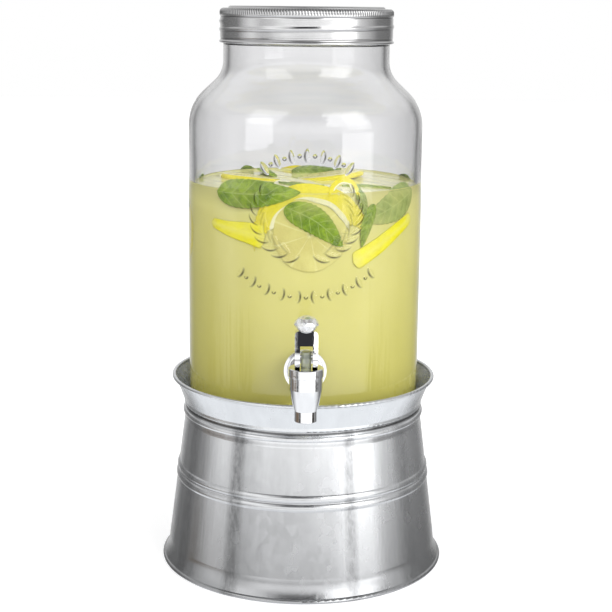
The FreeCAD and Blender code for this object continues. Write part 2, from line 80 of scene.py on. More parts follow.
LEVEL_Z = 318.8 * MM
DRINK_R = JAR_R - WALL + 0.12 * MM
CLEAR_R = DRINK_R + 2.2 * MM


# ---- mesh helpers ----


def mm(lengths):
    """Lengths in mm as an array in metres."""
    return np.array(lengths) * MM


def smooth_step(low, high, value):
    """0 at low and below, 1 at high and above, and a smooth rise between them."""
    t = np.clip((value - low) / (high - low), 0.0, 1.0)
    return t * t * (3 - 2 * t)


def new_mesh(name, points, faces, smooth=True):
    """An object with these points and faces, in the scene and with no material."""
    mesh = bpy.data.meshes.new(name)
    mesh.from_pydata([tuple(p) for p in points], [], [tuple(f) for f in faces])
    mesh.polygons.foreach_set("use_smooth", [smooth] * len(mesh.polygons))
    mesh.update()
    piece = bpy.data.objects.new(name, mesh)
    bpy.context.scene.collection.objects.link(piece)
    return piece


def grid_faces(rows, columns, closed=False):
    """Quads between rows of points, where closed joins the last column to the first."""
    faces = []
    for i in range(rows - 1):
        for j in range(columns if closed else columns - 1):
            k = (j + 1) % columns
            a = i * columns
            b = a + columns
            faces.append((a + j, a + k, b + k, b + j))
    return faces


def turned_faces(rows, columns):
    """The faces of a turned solid: quads all round, and a cap on its first and its last row."""
    last = (rows - 1) * columns
    caps = [tuple(range(columns))[::-1], tuple(last + j for j in range(columns))]
    return grid_faces(rows, columns, closed=True) + caps


def arc_points(centre, radius, start, end, count):
    """Points of an arc in the (radius, height) plane, by angle above the horizontal."""
    angles = np.linspace(start, end, count)
    return [(centre[0] + radius * cos(a), centre[1] + radius * sin(a)) for a in angles]


def filled_out(points, spacing):
    """The same outline with points added on its straight runs, at most spacing(height) apart."""
    result = [points[0]]
    for (r0, z0), (r1, z1) in zip(points, points[1:]):
        length = hypot(r1 - r0, z1 - z0)
        parts = max(1, ceil(length / spacing((z0 + z1) / 2)))
        for k in range(1, parts + 1):
            t = k / parts
            result.append((r0 + (r1 - r0) * t, z0 + (z1 - z0) * t))
    return result


def around(fine_half_angle, fine_step, coarse_step):
    """Angles of a whole turn, from the front (-Y) and finer within a half angle of it."""
    fine = np.arange(-fine_half_angle, fine_half_angle, fine_step)
    rest = 2 * pi - (fine[-1] + fine_step - fine[0])
    count = ceil(rest / coarse_step)
    coarse = fine[-1] + fine_step + np.arange(count) * rest / count
    return np.concatenate([fine, coarse])


def turned_points(outline, angles, relief=None):
    """Rows of points round the axis. relief(angle, height) is added to the radius."""
    rows = []
    for r, z in outline:
        radius = np.full(len(angles), r)
        if relief is not None:
            radius = radius + relief(angles, z)
        rows.append(np.stack([radius * np.sin(angles), -radius * np.cos(angles), np.full(len(angles), z)], 1))
    return np.concatenate(rows)


# ---- glass jar ----


def jar_side(inset):
    """The jar's line from the top of its heel to its mouth, moved into the glass by inset."""
    centre_r = JAR_UPPER_R - SHOULDER_R
    points = [(JAR_R - inset, z) for z in (JAR_Z + HEEL_R, ORNAMENT_LOW_Z, TAPER_LOW_Z)]
    points += [(JAR_UPPER_R - inset, TAPER_HIGH_Z)]
    points += arc_points((centre_r, SHOULDER_Z), SHOULDER_R - inset, 0.0, SHOULDER_ANGLE, 14)
    neck = arc_points((NECK_R + NECK_CURVE_R, NECK_Z), NECK_CURVE_R + inset,
                      pi + SHOULDER_ANGLE, pi, 12)
    return points + neck + [(NECK_R - inset, MOUTH_Z - 1.2 * MM)]


def helix_height(angles, start_z, turn):
    """Height of a right-hand thread at angles measured from the front, on one of its turns."""
    from_x = (angles - pi / 2) % (2 * pi)
    return start_z + THREAD_PITCH * ((from_x - THREAD_START) / (2 * pi) + turn)


def thread_relief(angles, z, start_z, height, half_width):
    """How far a thread stands out at height z, fading over its first and last stretch."""
    relief = np.zeros(len(angles))
    for turn in range(-1, 3):
        centre = helix_height(angles, start_z, turn)
        along = (centre - start_z) / THREAD_PITCH
        ends = smooth_step(0.0, 0.06, along) * (1 - smooth_step(THREAD_TURNS - 0.06, THREAD_TURNS, along))
        across = np.clip(1 - np.abs(z - centre) / half_width, 0, 1)
        relief += height * ends * across * across * (3 - 2 * across)
    return relief


# ---- raised ornament, at arc length u from the jar's front and height v ----

ORNAMENT_LOW_Z, ORNAMENT_HIGH_Z, ORNAMENT_HALF_ANGLE = 0.228, 0.362, radians(41)
WREATH_Z, WREATH_RX, WREATH_RZ = 0.3035, 0.0415, 0.0335
EMBOSS_HEIGHT = 0.95 * MM
NECK_BEAD_Z, NECK_BEAD_HEIGHT = 430.8 * MM, 1.0 * MM
LEAF_PAIRS = 9
# Two arcs of petals and beads: height of their centre, radius, half angle in degrees, count, and 1 or -1
# for an arc above or below its centre.
BORDER_ARCS = ((0.2900, 0.0590, 34, 13, 1), (0.3335, 0.0925, 35, 19, -1))


def on_leaf(u, v, centre, heading):
    """Distances from a leaf's centre, along it and across it."""
    du, dv = u - centre[0], v - centre[1]
    along = du * cos(heading) + dv * sin(heading)
    across = -du * sin(heading) + dv * cos(heading)
    return along, across


def lens_height(u, v, centre, length, width, heading, bow):
    """A raised leaf: 1 on its middle, falling to 0 at the edge of a lens shape bent by bow."""
    along, across = on_leaf(u, v, centre, heading)
    t = np.clip(along / (length / 2), -1.2, 1.2)
    across = across - bow * (1 - t * t)
    half = width / 2 * np.clip(1 - t * t, 0, None) ** 0.75 + 1e-6
    inside = 1 - np.abs(across) / half
    return np.where(np.abs(t) < 1, smooth_step(0.0, 0.75, inside), 0.0)


def bead_height(u, v, centre, radius):
    """A raised round bead."""
    distance = np.hypot(u - centre[0], v - centre[1])
    return 1 - smooth_step(radius * 0.45, radius, distance)


def wreath_leaves():
    """Leaves of two generic sprays that rise from the bottom of a ring: centre, length, width, heading, bow."""
    leaves = []
    for side in (-1, 1):
        for k in range(LEAF_PAIRS):
            a = radians(14 + 13.5 * k)
            size = 1.0 - 0.035 * k
            for row, lean in ((1.0, 0.55), (0.82, -0.45)):
                if row < 1 and k == 0:
                    continue
                u = side * WREATH_RX * row * sin(a + 0.04)
                v = WREATH_Z - WREATH_RZ * row * cos(a + 0.04)
                tangent = atan2(WREATH_RZ * sin(a), WREATH_RX * cos(a))
                heading = tangent - lean
                if side < 0:
                    heading = pi - heading
                bow = (0.9 if row == 1 else -0.6) * MM * (-side)
                leaves.append(((u, v), 14.5 * MM * size, 4.6 * MM * size, heading, bow))
    return leaves


def border_arcs():
    """Petals and beads on two arcs, above and below the wreath."""
    petals, beads = [], []
    for centre_z, radius, half_angle, count, outward in BORDER_ARCS:
        for k in range(count):
            a = radians(-half_angle + 2 * half_angle * k / (count - 1))
            place = (radius * sin(a), centre_z + outward * radius * cos(a))
            if k % 2:
                beads.append((place, 1.5 * MM))
            else:
                petals.append((place, 10.5 * MM, 4.6 * MM, pi / 2 - outward * a, 0.0))
    return petals, beads


PETALS, BEADS = border_arcs()
LEAVES = wreath_leaves() + PETALS


def ornament(u, v):
    """Height of the raised ornament, from 0 to 1, at arc length u from the front and height v."""
    front = np.zeros(len(u))
    for each in LEAVES:
        front = np.maximum(front, lens_height(u, v, *each))
    for each in BEADS:
        front = np.maximum(front, bead_height(u, v, *each))
    return front


def dark_side(u, v, centre, length, width, heading, bow):
    """Painted shade along the side of a raised leaf that faces down and away from the wreath's middle."""
    along, across = on_leaf(u, v, centre, heading)
    t = np.clip(along / (length / 2), -1.0, 1.0)
    outward = np.array([centre[0], centre[1] - WREATH_Z])
    outward = outward / np.hypot(*outward) + np.array([0.0, -0.6])
    side = 1 if -sin(heading) * outward[0] + cos(heading) * outward[1] > 0 else -1
    half = width / 2 * (1 - t * t) ** 0.75
    distance = np.abs(side * (across - bow * (1 - t * t)) - 0.85 * half)
    line = 1 - smooth_step(0.50 * MM, 1.10 * MM, distance)
    inner = 0.45 if np.hypot(centre[0] / WREATH_RX, (centre[1] - WREATH_Z) / WREATH_RZ) < 0.9 else 1.0
    return inner * line * np.sqrt(1 - t * t)


def ornament_edges(points):
    """How much painted shade each point gets where the ornament's lower and outer edges bend the light away."""
    angle = np.arctan2(points[:, 0], -points[:, 1])
    u, v = angle * JAR_R, points[:, 2]
    dark = np.zeros(len(u))
    for each in LEAVES:
        dark = np.maximum(dark, dark_side(u, v, *each))
    for (across, up), radius in BEADS:
        ring = 1 - smooth_step(0.3 * MM, 0.9 * MM, np.abs(np.hypot(u - across, v - up) - 0.8 * radius))
        dark = np.maximum(dark, ring * (v < up + 0.3 * MM))
    on_outside = np.hypot(points[:, 0], points[:, 1]) > JAR_R - 0.5 * WALL
    in_zone = (np.abs(angle) < ORNAMENT_HALF_ANGLE) & (v > ORNAMENT_LOW_Z) & (v < ORNAMENT_HIGH_Z)
    return dark * on_outside * in_zone


def jar_relief(angles, z):
    """The jar's raised ornament, its screw thread, and the slight waviness of pressed glass."""
    relief = thread_relief(angles, z, GLASS_THREAD_Z, GLASS_THREAD_HEIGHT, 1.5 * MM)
    turned = (angles + pi) % (2 * pi) - pi
    u = turned * JAR_R
    v = np.full(len(angles), z)
    if ORNAMENT_LOW_Z < z < ORNAMENT_HIGH_Z:
        relief = relief + EMBOSS_HEIGHT * ornament(u, v)
    relief = relief + NECK_BEAD_HEIGHT * (1 - smooth_step(0.3 * MM, 2.0 * MM, abs(z - NECK_BEAD_Z)))
    wave = np.sin(3 * angles + 41 * z) * np.sin(57 * z + 1.3) + 0.6 * np.sin(7 * angles - 83 * z)
    fade = smooth_step(JAR_Z, JAR_Z + 0.03, z) * (1 - smooth_step(0.40, 0.43, z))
    return relief + 0.06 * MM * wave * fade


def make_jar():
    """The glass shell: heel, ornamented wall, shoulder, threaded neck, lip, and a plain inside with a punt."""
    def spacing(z):
        if ORNAMENT_LOW_Z < z < ORNAMENT_HIGH_Z:
            return 0.46 * MM
        return 0.5 * MM if THREADED_LOW_Z < z < THREADED_HIGH_Z else 5 * MM

    heel_r = JAR_R - HEEL_R
    foot_r = heel_r - 6 * MM
    angles = around(ORNAMENT_HALF_ANGLE, radians(0.3), radians(2.0))
    heel = arc_points((heel_r, JAR_Z + HEEL_R), HEEL_R, -pi / 2, 0.0, 12)
    lip_r = 1.2 * MM
    lip = arc_points((NECK_R - lip_r, MOUTH_Z - lip_r), lip_r, 0.0, pi / 2, 5)
    outer = [(0.5 * MM, JAR_Z + PUNT), (foot_r * 0.6, JAR_Z + PUNT * 0.6), (foot_r, JAR_Z)]
    outer += heel[:-1] + filled_out(jar_side(0.0), spacing)[:-1] + lip
    inner_side = jar_side(WALL)
    inner_heel = HEEL_R - FLOOR
    inner_lip = [(NECK_R - WALL + 0.8 * MM, MOUTH_Z), (NECK_R - WALL, MOUTH_Z - 0.8 * MM)]
    inner = inner_lip + filled_out(inner_side[::-1], lambda z: 6 * MM)[1:]
    inner += arc_points((inner_side[0][0] - inner_heel, JAR_Z + HEEL_R), inner_heel, 0.0, -pi / 2, 8)[1:]
    inner += [(0.5 * MM, JAR_Z + FLOOR + 1 * MM)]
    points = np.concatenate([turned_points(outer, angles, jar_relief), turned_points(inner, angles)])
    jar = new_mesh("jar_glass_shell", points, turned_faces(len(outer) + len(inner), len(angles)))
    # Painted shade for the glass along the ornament's edges, held at the points.
    edge_shade_points = jar.data.attributes.new("ornament_edge_shade", "FLOAT", "POINT")
    edge_shade_points.data.foreach_set("value", ornament_edges(points))
    cut_tap_hole(jar)
    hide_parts("glass_jar")
    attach(jar, "jar")
    return jar


def cut_tap_hole(jar):
    """Drills the hole for the tap's shank."""
    bpy.ops.mesh.primitive_cylinder_add(vertices=64, radius=HOLE_R, depth=0.04,
                                        location=(0, -JAR_R, TAP_Z), rotation=(pi / 2, 0, 0))
    drill = bpy.context.object
    cut = jar.modifiers.new("tap_hole", "BOOLEAN")
    cut.operation = "DIFFERENCE"
    cut.solver = "EXACT"
    cut.object = drill
    bpy.context.view_layer.update()
    evaluated = jar.evaluated_get(bpy.context.evaluated_depsgraph_get())
    drilled = bpy.data.meshes.new_from_object(evaluated)
    jar.modifiers.clear()
    jar.data = drilled
    bpy.data.objects.remove(drill)


# ---- lid ring ----

BAND_R, BAND_LOW_Z, BAND_TOP_Z, BAND_SHEET = 69.2 * MM, band_low.z + 0.4 * MM, band_high.z, 0.4 * MM
BAND_OPENING_R = 65.2 * MM
KNURLS, KNURL_DEPTH = 190, 0.55 * MM
ROLLED_THREAD_Z, ROLLED_THREAD_HEIGHT = 437.6 * MM, 0.75 * MM


def knurl(angles, z):
    """Depth, from 0 to 1, of the slanting knurls pressed into the ring's shoulder."""
    top = BAND_TOP_Z
    row = smooth_step(top - 5.4 * MM, top - 4.2 * MM, z) * (1 - smooth_step(top - 0.5 * MM, top - 0.1 * MM, z))
    tooth = np.abs(np.cos(KNURLS / 2 * (angles + 3.0 * (z - top))))
    return row * (1 - tooth) ** 0.8


def rolled_thread(angles, z):
    """The thread rolled into the ring's wall."""
    return thread_relief(angles, z, ROLLED_THREAD_Z, ROLLED_THREAD_HEIGHT, 2.2 * MM)


def band_relief(angles, z):
    """The rolled thread and the knurls."""
    return rolled_thread(angles, z) - KNURL_DEPTH * knurl(angles, z)


def band_grooves(points):
    """Painted shade on the ring: between the knurls, under the thread, and in the two creases."""
    angles = np.arctan2(points[:, 0], -points[:, 1])
    z = points[:, 2]
    under = 0.5 * thread_relief(angles, z + 1.6 * MM, ROLLED_THREAD_Z, 1.0, 1.1 * MM)
    creases = sum(1 - smooth_step(0.1 * MM, 0.7 * MM, np.abs(z - level))
                  for level in (BAND_TOP_Z - 6.8 * MM, BAND_LOW_Z + 3.2 * MM))
    return np.clip(knurl(angles, z) + 0.9 * creases + under, 0, 1)


def make_band():
    """The screw ring: a rolled bottom edge, a crease, the thread, a bead and the knurled shoulder."""
    z, r, top = BAND_LOW_Z, BAND_R, BAND_TOP_Z
    angles = np.arange(6 * KNURLS) * 2 * pi / (6 * KNURLS)
    curl = arc_points((r - 0.3 * MM, z + 1.1 * MM), 1.1 * MM, -1.1 * pi, 0.42 * pi, 9)
    wall = [(r - 0.35 * MM, z + 3.4 * MM), (r - 0.05 * MM, z + 4.4 * MM)]
    wall += filled_out([(r, z + 5.0 * MM), (r, top - 7.6 * MM)], lambda z: 0.55 * MM)
    wall += [(r - 0.35 * MM, top - 7.0 * MM), (r - 0.30 * MM, top - 6.6 * MM), (r + 0.15 * MM, top - 6.0 * MM)]
    corner = arc_points((r - 2.8 * MM, top - 3.2 * MM), 3.2 * MM, 0.0, pi / 2, 9)
    lip_r = BAND_OPENING_R
    lip = [(lip_r + 0.5 * MM, top), (lip_r, top - 0.25 * MM), (lip_r + 0.2 * MM, top - 0.45 * MM)]
    shoulder = filled_out([(r + 0.4 * MM, top - 5.2 * MM), corner[0]], lambda z: 0.5 * MM)
    outer = curl + wall + shoulder + corner[1:]
    inner = [(r - 2.8 * MM, top - 0.4 * MM), (r - 0.5 * MM, top - 2.6 * MM), (r - BAND_SHEET, top - 5.0 * MM)]
    inner += filled_out([(r - BAND_SHEET, top - 7.6 * MM), (r - BAND_SHEET, z + 5.0 * MM)], lambda z: 0.8 * MM)
    inner += [(r - BAND_SHEET - 0.3 * MM, z + 3.0 * MM)]
    points = np.concatenate([turned_points(outer, angles, band_relief), turned_points(lip, angles),
                             turned_points(inner, angles, rolled_thread)])
    count, columns = len(outer) + len(lip) + len(inner), len(angles)
    faces = grid_faces(count, columns, closed=True)
    last = (count - 1) * columns
    faces += [(last + j, last + (j + 1) % columns, (j + 1) % columns, j) for j in range(columns)]
    ring = new_mesh("lid_ring_shell", points, faces)
    # Painted shade for the lid sheet, held at the points.
    grooves = ring.data.attributes.new("groove_shade", "FLOAT", "POINT")
    grooves.data.foreach_set("value", band_grooves(points))
    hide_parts("lid_band")
    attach(ring, "lid_ring")
    return ring


# ---- knob ----

FACETS = 12


def make_knob():
    """The cut knob: flat facets between rings of corners, each ring turned by half a facet, and a bore."""
    low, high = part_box("crystal_knob")
    middle = (low + high) / 2
    r, z, tall = high.x - middle.x, low.z, high.z - low.z
    bore = 2.05 * MM
    rings = ((bore, z + 0.45 * tall, 0), (bore, z, 0), (0.75 * r, z, 0), (r, z + 0.36 * tall, 1),
             (0.91 * r, z + 0.61 * tall, 0), (0.65 * r, z + 0.87 * tall, 1), (0.32 * r, high.z, 0))
    points, faces = [], []
    for radius, height, shift in rings:
        for k in range(FACETS):
            a = (k + shift / 2) * 2 * pi / FACETS
            points.append((middle.x + radius * cos(a), middle.y + radius * sin(a), height))
    for row, (under, over) in enumerate(zip(rings, rings[1:])):
        for k in range(FACETS):
            a, b = row * FACETS + k, row * FACETS + (k + 1) % FACETS
            shift = under[2] - over[2]
            c = (row + 1) * FACETS + (k + max(shift, 0)) % FACETS
            d = (row + 1) * FACETS + (k + max(shift, 0) + 1) % FACETS
            faces += [(a, b, c), (b, d, c)]
    top = (len(rings) - 1) * FACETS
    faces += [tuple(range(FACETS))[::-1], tuple(top + k for k in range(FACETS))]
    knob = new_mesh("crystal_knob_cut", points, faces, smooth=False)
    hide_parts("crystal_knob")
    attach(knob, "lever")
    return knob


# ---- soft seat inside the tap ----


def make_seat():
    """The rubber sleeve on the plunger: its flange stays under the bonnet and its plug holds the stem's lower
    end.
    """
    low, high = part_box("seat_cup")
    stem_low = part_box("valve_stem")[0]
    z, top, flange_r = low.z, high.z, (high.x - low.x) / 2
    flange = top - 1.6 * MM
    bulb, bulb_top = stem_low.z - 0.3 * MM, stem_low.z + 2.7 * MM
    outline = [(0.4 * MM, z), (7.4 * MM, z), (7.4 * MM, z + 3.4 * MM)]
    outline += filled_out([(5.3 * MM, z + 6.6 * MM), (5.3 * MM, flange)], lambda z: 0.8 * MM)
    outline += [(flange_r, flange), (flange_r, top)]
    outline += filled_out([(3.3 * MM, top), (3.3 * MM, bulb_top)], lambda z: 0.8 * MM)
    outline += [(4.5 * MM, bulb_top), (4.5 * MM, bulb), (0.4 * MM, bulb)]
    angles = np.arange(64) * 2 * pi / 64
    points = turned_points(outline, angles)
    points[:, 1] += (low.y + high.y) / 2
    seat = new_mesh("seat_sleeve", points, turned_faces(len(outline), len(angles)), smooth=False)
    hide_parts("seat_cup")
    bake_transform(seat)
    return seat


# ---- drink ----


def level_ripple(x, y):
    """Faint ripples of the drink's surface."""
    return 0.25 * MM * (np.sin(150 * x + 40 * y) * np.sin(120 * y - 60 * x) + 0.6 * np.sin(310 * x + 230 * y))


def make_drink():
    """Cloudy lemonade up to its level, with the edge drawn up the glass."""
    angles = np.arange(180) * 2 * pi / 180
    inner_heel = HEEL_R - FLOOR
    floor_z = JAR_Z + FLOOR
    outline = [(0.001, floor_z + 0.9 * MM), (DRINK_R - inner_heel, floor_z - 0.12 * MM)]
    outline += arc_points((DRINK_R - inner_heel, floor_z + inner_heel), inner_heel, -pi / 2, 0.0, 8)[1:]
    outline += filled_out([(DRINK_R, floor_z + inner_heel), (DRINK_R, TAPER_LOW_Z)], lambda z: 12 * MM)[1:]
    top_r = DRINK_R - 0.3 * MM
    outline += [(top_r, LEVEL_Z + 1.5 * MM), (top_r - 0.9 * MM, LEVEL_Z + 0.7 * MM), (top_r - 3 * MM, LEVEL_Z)]
    rings = np.linspace(top_r - 5 * MM, 0.002, 34)
    outline += [(r, LEVEL_Z) for r in rings]
    points = turned_points(outline, angles)
    surface = points[-len(rings) * len(angles):]
    surface[:, 2] += level_ripple(surface[:, 0], surface[:, 1])
    return new_mesh("drink", points, turned_faces(len(outline), len(angles)))


# ---- fruit and leaves ----


def skin(name, material, outer, inner, rows, columns, coordinates):
    """A closed thin solid between two grids of points, with a flat coordinate at each point."""
    count = rows * columns
    faces = grid_faces(rows, columns)
    faces += [tuple(count + k for k in face[::-1]) for face in grid_faces(rows, columns)]
    rim = list(range(columns)) + [i * columns + columns - 1 for i in range(1, rows)]
    rim += [(rows - 1) * columns + j for j in range(columns - 2, -1, -1)]
    rim += [i * columns for i in range(rows - 2, 0, -1)]
    for a, b in zip(rim, rim[1:] + rim[:1]):
        faces.append((b, a, count + a, count + b))
    piece = new_mesh(name, np.concatenate([outer, inner]), faces)
    flat = piece.data.uv_layers.new(name="flat")
    both = np.concatenate([coordinates, coordinates])
    corners = np.zeros(len(piece.data.loops), dtype=np.int32)
    piece.data.loops.foreach_get("vertex_index", corners)
    flat.data.foreach_set("uv", (0.5 + 0.5 * both[corners]).ravel())
    piece.data.materials.append(material)
    return piece


def on_wall(across, height, depth):
    """Points against the jar's wall: arc length from the front, height, and depth behind the clearest layer."""
    angle = across / JAR_R
    above = smooth_step(LEVEL_Z - 1 * MM, LEVEL_Z + 3 * MM, height)
    radius = CLEAR_R - depth - above * (CLEAR_R - (JAR_R - WALL - 0.5 * MM))
    return np.stack([radius * np.sin(angle), -radius * np.cos(angle), height], -1).reshape(-1, 3)


def in_place(matrix):
    """A placing function for a piece that floats free, from its own flat coordinates."""
    turn = np.array(matrix.to_3x3())
    origin = np.array(matrix.translation)

    def place(across, height, depth):
        own = np.stack([across, height, -depth], -1).reshape(-1, 3)
        return own @ turn.T + origin

    return place


def flat_grid(rows, columns):
    """Positions along a long piece (0 to 1) and across it (-1 to 1), and both as flat coordinates."""
    t, s = np.meshgrid(np.linspace(0, 1, rows), np.linspace(-1, 1, columns), indexing="ij")
    return t, s, np.stack([2 * t - 1, s], -1).reshape(-1, 2)


def bowed(start, end, t, s, half, bow):
    """Across and up for a long piece from start to end, with its half width, bent sideways by bow, all in mm."""
    start, end, out = mm(start), mm(end), mm(bow * np.sin(pi * t) + s * half)
    along = end - start
    forward = along / float(np.hypot(*along))
    return start[0] + along[0] * t - forward[1] * out, start[1] + along[1] * t + forward[0] * out


def leaf_width(t):
    """Half width of a mint leaf along its length, as a share of its widest."""
    body = np.sin(pi * np.clip(t, 0, 1) ** 0.68) ** 0.72
    teeth = 0.075 * np.abs(((t * 13) % 1) - 0.5) * np.sin(pi * t)
    return body * (1 - teeth * 2) + 0.004


def leaf(name, base, tip, width, bow, depth, material, place=on_wall, cup=0.35):
    """A mint leaf from base to tip, bent sideways by bow, with its side veins quilted into it. Sizes in mm."""
    rows, columns, thick = 66, 19, 0.35
    t, s, flat = flat_grid(rows, columns)
    across, height = bowed(base, tip, t, s, width / 2 * leaf_width(t), bow)
    quilt = 0.16 * np.cos(2 * pi * 7 * (t - 0.16 * np.abs(s))) * (1 - np.abs(s) ** 3)
    rib = 0.25 * np.exp(-((s / 0.10) ** 2))
    behind = depth + cup * s ** 2 - quilt - rib
    front, back = place(across, height, mm(behind)), place(across, height, mm(behind + thick))
    return skin(name, material, front, back, rows, columns, flat)


def slice_piece(name, centre, radii, depth, material, start=0.0, end=360.0, core=0.02, thick=0.8, place=on_wall):
    """A round slice with a rounded rind edge, or a crescent of one between two angles. Sizes in mm."""
    centre, radii, depth, thick = mm(centre), mm(radii), depth * MM, thick * MM
    rows, columns = 14, max(12, int(96 * (end - start) / 360))
    shares = np.concatenate([np.linspace(core, 0.86, rows - 6), [0.90, 0.935, 0.965, 0.985, 0.996, 1.0]])
    share, angle = np.meshgrid(shares, np.radians(np.linspace(start, end, columns)), indexing="ij")
    if end - start < 360:
        spread = np.degrees(angle)
        ends = smooth_step(0, 42, np.minimum(spread - start, end - spread))
        share = 1 - (1 - share) * (0.01 + 0.99 * ends)
    wobble = 1 + 0.012 * np.sin(3 * angle + centre[0] * 300) + 0.008 * np.sin(8 * angle)
    across = centre[0] + radii[0] * share * wobble * np.cos(angle)
    height = centre[1] + radii[1] * share * wobble * np.sin(angle)
    rounded = (1 - np.sqrt(np.clip(1 - ((share - 0.9) / 0.1).clip(0) ** 2, 0, 1))) * thick * 0.45
    pulp = 0.10 * MM * np.sin(9 * angle) * np.sin(pi * share.clip(0, 0.86) / 0.86)
    behind = depth + rounded - pulp
    far = depth + thick - rounded
    flat = np.stack([share * np.cos(angle), share * np.sin(angle)], -1).reshape(-1, 2)
    front, back = place(across, height, behind), place(across, height, far)
    return skin(name, material, front, back, rows, columns, flat)


def strip(name, start, end, width_start, width_end, bow, depth, material):
    """A wedge of fruit seen on its edge: a band that widens from start to end, with rounded ends. In mm."""
    rows, columns = 40, 13
    t, s, flat = flat_grid(rows, columns)
    ends = np.sqrt(np.clip(1 - (1 - np.minimum(t, 1 - t) / 0.07).clip(0) ** 2, 0.001, 1))
    half = (width_start + (width_end - width_start) * t) / 2 * ends * (1 + 0.05 * np.sin(9 * t + 2 * s))
    across, height = bowed(start, end, t, s, half, bow)
    behind = depth + 0.7 * s ** 2 + 0.08 * np.sin(30 * t)
    front, back = on_wall(across, height, mm(behind)), on_wall(across, height, mm(behind + 0.5))
    return skin(name, material, front, back, rows, columns, flat)


# ---- materials ----


class Nodes:
    """A material, or the world, under construction: short calls that add nodes and link them."""

    def __init__(self, name, block=None):
        self.material = block or bpy.data.materials.new(name)
        self.material.use_nodes = True
        self.tree = self.material.node_tree
        self.tree.nodes.clear()
        self.out = self.add("ShaderNodeOutputWorld" if block else "ShaderNodeOutputMaterial")

    def add(self, kind, **inputs):
        node = self.tree.nodes.new(kind)
        for name, value in inputs.items():
            self.give(node, name.replace("_", " "), value)
        return node

    def give(self, node, name, value):
        """Feeds one input of a node, with another node's output or with a constant."""
        if isinstance(value, bpy.types.NodeSocket):
            self.tree.links.new(value, node.inputs[name])
        else:
            node.inputs[name].default_value = value

    def place(self, scale=(1, 1, 1)):
        """Object coordinates, stretched by scale."""
        coordinates = self.add("ShaderNodeTexCoord").outputs["Object"]
        return self.add("ShaderNodeMapping", Vector=coordinates, Scale=scale).outputs["Vector"]

    def noise(self, scale, detail=4.0, rough=0.55, stretch=(1, 1, 1), distortion=0.0):
        node = self.add("ShaderNodeTexNoise", Vector=self.place(stretch), Scale=scale, Detail=detail,
                        Roughness=rough, Distortion=distortion)
        return node.outputs["Fac"]

    def cells(self, scale, stretch=(1, 1, 1), output="Color"):
        return self.add("ShaderNodeTexVoronoi", Vector=self.place(stretch), Scale=scale).outputs[output]

    def attribute(self, name):
        """A number that the mesh holds at its points."""
        node = self.add("ShaderNodeAttribute")
        node.attribute_name = name
        return node.outputs["Fac"]

    def maths(self, operation, a, b=0.5, clamp=False, third=0.0):
        node = self.tree.nodes.new("ShaderNodeMath")
        node.operation = operation
        node.use_clamp = clamp
        for index, value in enumerate((a, b, third)):
            self.give(node, index, value)
        return node.outputs[0]

    def times(self, a, b, clamp=False):
        return self.maths("MULTIPLY", a, b, clamp)

    def plus(self, a, b, clamp=False):
        return self.maths("ADD", a, b, clamp)

    def spread(self, value, from_low, from_high, to_low=0.0, to_high=1.0):
        """value mapped from one range to another, held inside it."""
        node = self.add("ShaderNodeMapRange", Value=value, From_Min=from_low, From_Max=from_high,
                        To_Min=to_low, To_Max=to_high)
        node.clamp = True
        return node.outputs["Result"]

    def ramp(self, value, stops):
        node = self.add("ShaderNodeValToRGB", Fac=value)
        elements = node.color_ramp.elements
        while len(elements) < len(stops):
            elements.new(1.0)
        for element, (position, colour) in zip(elements, stops):
            element.position = position
            element.color = (*colour, 1)
        return node.outputs["Color"]

    def mix(self, factor, a, b, blend="MIX"):
        node = self.tree.nodes.new("ShaderNodeMix")
        node.data_type = "RGBA"
        node.blend_type = blend
        for index, value in ((0, factor), (6, a), (7, b)):
            self.give(node, index, (*value, 1) if isinstance(value, tuple) else value)
        return node.outputs[2]

    def bump(self, height, strength, distance=0.001, under=None):
        node = self.add("ShaderNodeBump", Height=height, Strength=strength, Distance=distance)
        if under is not None:
            self.give(node, "Normal", under)
        return node.outputs["Normal"]

    def axes(self, which="Object"):
        """One set of texture coordinates as three separate numbers."""
        source = self.add("ShaderNodeTexCoord").outputs[which]
        node = self.add("ShaderNodeSeparateXYZ", Vector=source)
        return node.outputs["X"], node.outputs["Y"], node.outputs["Z"]

    def length(self, x, y):
        return self.maths("SQRT", self.plus(self.times(x, x), self.times(y, y)))

    def flat(self):
        """The piece's flat coordinates, from -1 to 1."""
        u, v, _ = self.axes("UV")
        return tuple(self.maths("MULTIPLY_ADD", value, 2.0, third=-1.0) for value in (u, v))

    def surface(self, shader):
        self.tree.links.new(shader, self.out.inputs["Surface"])
        return self.material

    def principled(self, **inputs):
        return self.add("ShaderNodeBsdfPrincipled", **inputs).outputs[0]

    def wet(self, colour, rough, normal):
        """A wet surface under water, where gloss is faint."""
        return self.principled(Base_Color=colour, Roughness=rough, Normal=normal, Specular_IOR_Level=0.12)

    def let_lamps_through(self, shader, tint):
        """Glass that casts only a faint tinted shadow on what is behind it."""
        clear = self.add("ShaderNodeBsdfTransparent", Color=(*tint, 1)).outputs[0]
        return self.by_ray("Is Shadow Ray", shader, clear)

    def by_ray(self, kind, shader, other):
        """shader, but other for one kind of ray."""
        node = self.add("ShaderNodeMixShader", Fac=self.add("ShaderNodeLightPath").outputs[kind])
        self.give(node, 1, shader)
        self.give(node, 2, other)
        return node.outputs[0]


def dimmed(tone, share):
    return tuple(channel * share for channel in tone)


# Colour of the painted shade in the seams under the tray.
SEAM_SHADE_TONE = (0.035, 0.036, 0.038)


